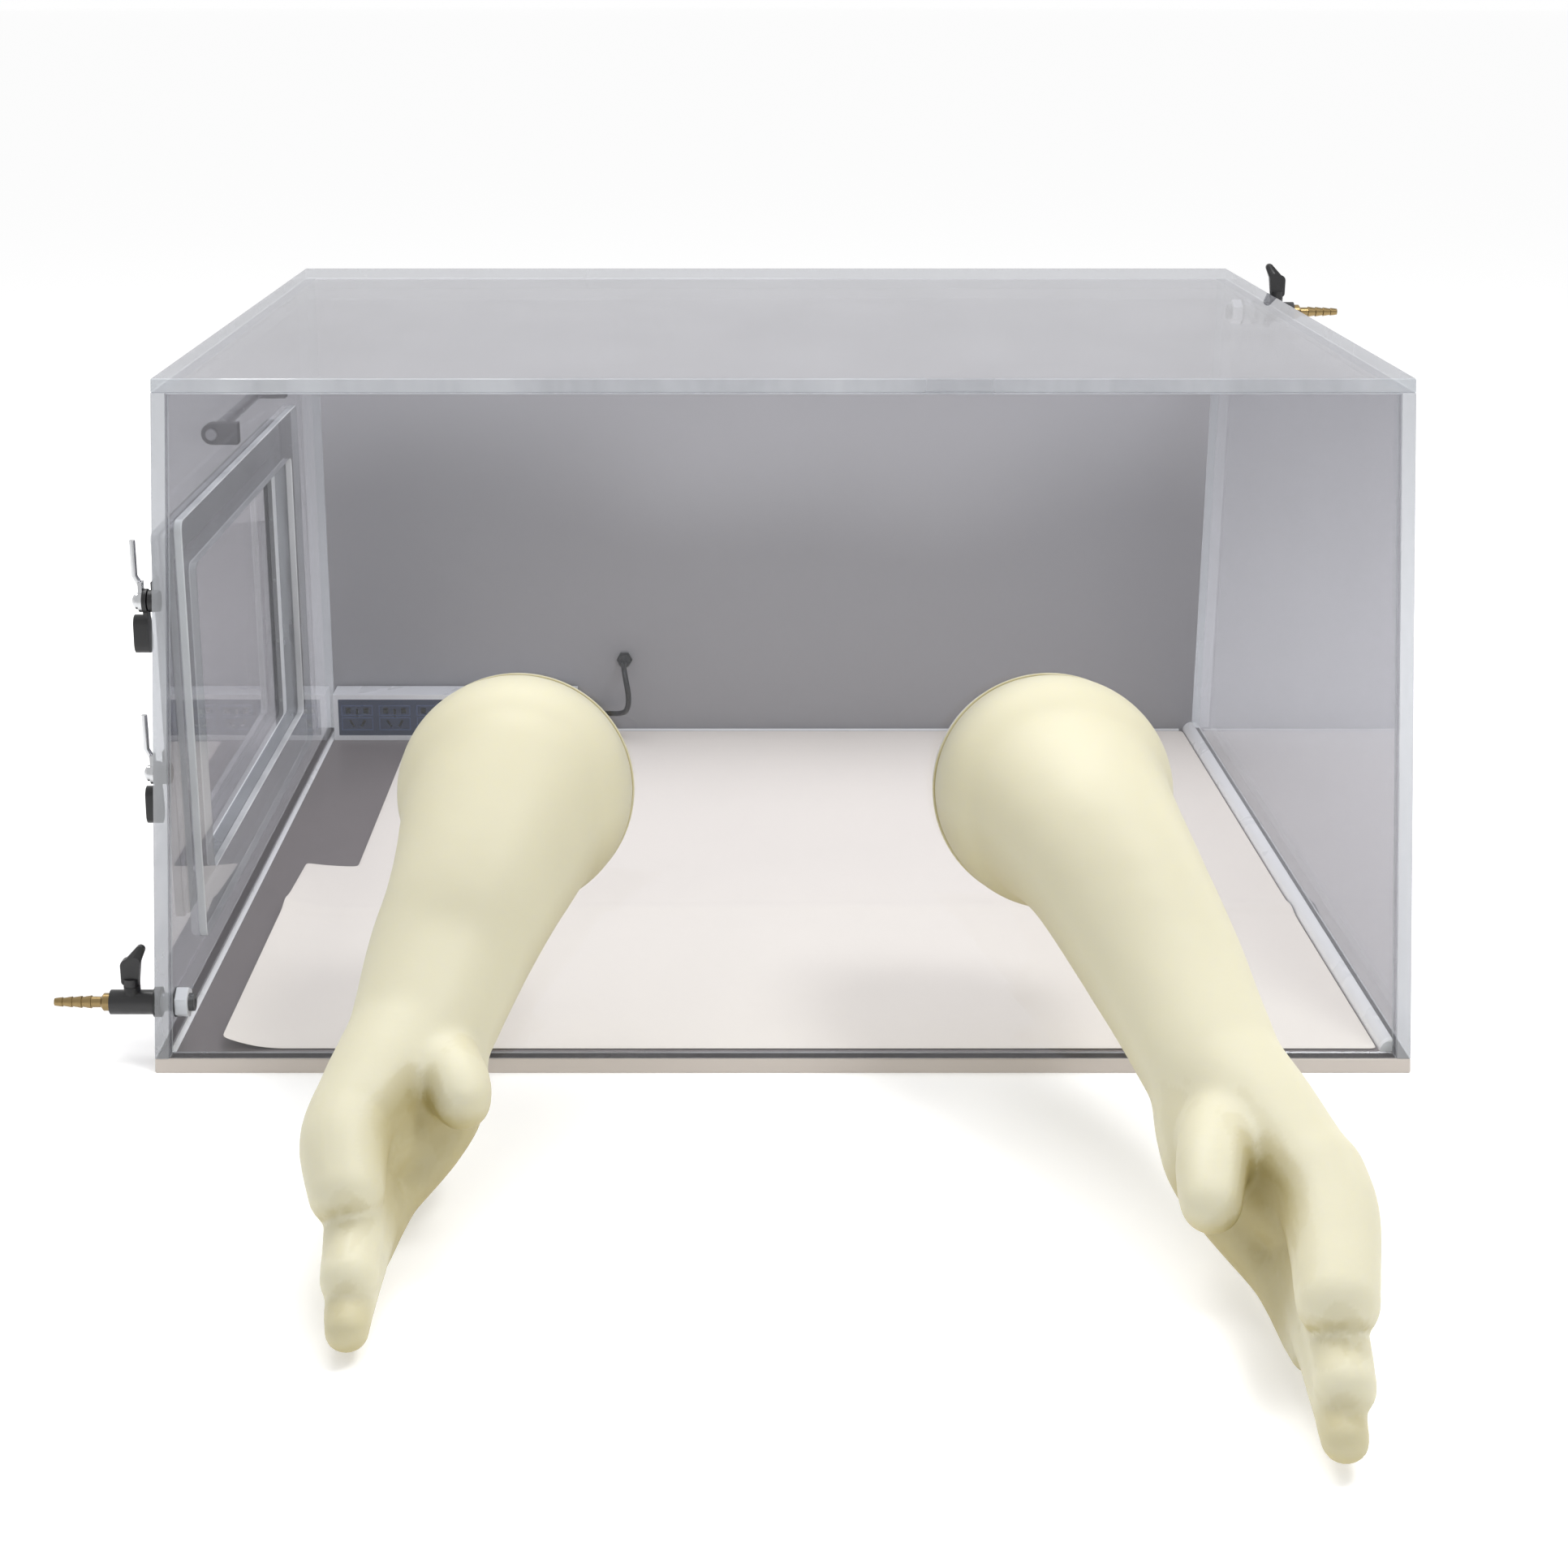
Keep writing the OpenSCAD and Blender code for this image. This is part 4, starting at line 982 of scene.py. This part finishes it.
def framed_slab(x, z, half_wide, half_tall, width, front):
    """A raised rectangular frame that stands on a face looking along -Y."""
    corners = ((-1, -1), (1, -1), (1, 1), (-1, 1))
    outer = [(x + sx * half_wide, z + sz * half_tall) for sx, sz in corners]
    inner = [(x + sx * (half_wide - width), z + sz * (half_tall - width)) for sx, sz in corners]
    bm = bmesh.new()
    rings = [[bm.verts.new((px, y, pz)) for px, pz in edge]
             for edge, y in ((outer, front + 0.2 * MM), (outer, front - 0.45 * MM),
                             (inner, front - 0.45 * MM), (inner, front + 0.2 * MM))]
    for a, b in zip(rings, rings[1:] + rings[:1]):
        for k in range(4):
            bm.faces.new((a[k], a[(k + 1) % 4], b[(k + 1) % 4], b[k]))
    bmesh.ops.recalc_face_normals(bm, faces=bm.faces)
    return ease(bm, 0.12 * MM)


class GLOVEBOX_OT_strip(bpy.types.Operator):
    """Finishes the power strip, frames its outlets, and finishes the inlet behind the chamber"""

    bl_idname = "glovebox.strip"
    bl_label = "Power strip"

    def execute(self, context):
        finished_node("strip_shell", "chamber", "white_plastic", 1.2 * MM)
        finished_node("strip_face", "chamber", "navy_plastic", 0.25 * MM)
        wear("strip_contacts", "dark_brass")
        finished_node("strip_rocker", "power_rocker", "black_plastic", 0.4 * MM)
        finished_node("inlet_housing", "chamber", "black_plastic", 0.8 * MM)
        wear("inlet_pins", "brass")
        wear("inlet_screws", "steel")

        # Two raised frames round each outlet's openings, moulded in a lighter blue
        low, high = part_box("strip_face")
        front = low.y
        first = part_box("strip_shell")[0].x + OUTLET_INSET
        middle = (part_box("strip_shell")[0].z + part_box("strip_shell")[1].z) / 2
        for name, up, tall in (("upper", 7.4, 5.6), ("lower", -6.6, 7.0)):
            bm = framed_slab(first, middle + up * MM, 16 * MM, tall * MM, 1.2 * MM, front)
            frames = row_of("outlet_frames_" + name, bm, "navy_light", OUTLETS, (OUTLET_STEP, 0, 0))
            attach(frames, "chamber")

        # The strip's small domed lamp beside the rocker
        bm = bmesh.new()
        aim = Matrix.Translation((high.x - 3.2 * MM, front, high.z - 5 * MM)) @ Matrix.Rotation(
            math.pi / 2, 4, "X")
        turned(bm, [(r * MM, z * MM) for r, z in ((1.5, -0.3), (1.5, 0.2), (1.2, 0.45), (0.5, 0.5))], aim, 24)
        bmesh.ops.recalc_face_normals(bm, faces=bm.faces)
        lamp = new_piece("strip_lamp_lens", bm, ["lamp"])
        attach(lamp, "chamber")
        return {"FINISHED"}


# ---- Panel and registration ----

OPERATORS = (
    GLOVEBOX_OT_stage, GLOVEBOX_OT_lead, GLOVEBOX_OT_chamber, GLOVEBOX_OT_liner, GLOVEBOX_OT_ports,
    GLOVEBOX_OT_gloves, GLOVEBOX_OT_door, GLOVEBOX_OT_latches, GLOVEBOX_OT_valves, GLOVEBOX_OT_strip,
)


class GLOVEBOX_PT_pieces(bpy.types.Panel):
    """Lists the glove box's pieces and its settings"""

    bl_idname = "GLOVEBOX_PT_pieces"
    bl_label = "Glove box"
    bl_space_type = "VIEW_3D"
    bl_region_type = "UI"
    bl_category = "Glove box"

    def draw(self, context):
        for group in (context.scene.glove_box_sizes, context.scene.glove_box_colours):
            for key in group.__annotations__:
                self.layout.prop(group, key)
        for operator in OPERATORS:
            self.layout.operator(operator.bl_idname)


CLASSES = (GloveBoxSizes, GloveBoxColours, *OPERATORS, GLOVEBOX_PT_pieces)


def register():
    for cls in CLASSES:
        bpy.utils.register_class(cls)
    bpy.types.Scene.glove_box_sizes = PointerProperty(type=GloveBoxSizes)
    bpy.types.Scene.glove_box_colours = PointerProperty(type=GloveBoxColours)


def unregister():
    del bpy.types.Scene.glove_box_colours
    del bpy.types.Scene.glove_box_sizes
    for cls in reversed(CLASSES):
        bpy.utils.unregister_class(cls)


def main():
    register()
    bpy.ops.glovebox.stage()
    bpy.ops.glovebox.lead()
    bpy.ops.glovebox.chamber()
    bpy.ops.glovebox.liner()
    bpy.ops.glovebox.ports()
    bpy.ops.glovebox.gloves()
    bpy.ops.glovebox.door()
    bpy.ops.glovebox.latches()
    bpy.ops.glovebox.valves()
    bpy.ops.glovebox.strip()


if __name__ == "__main__":
    main()
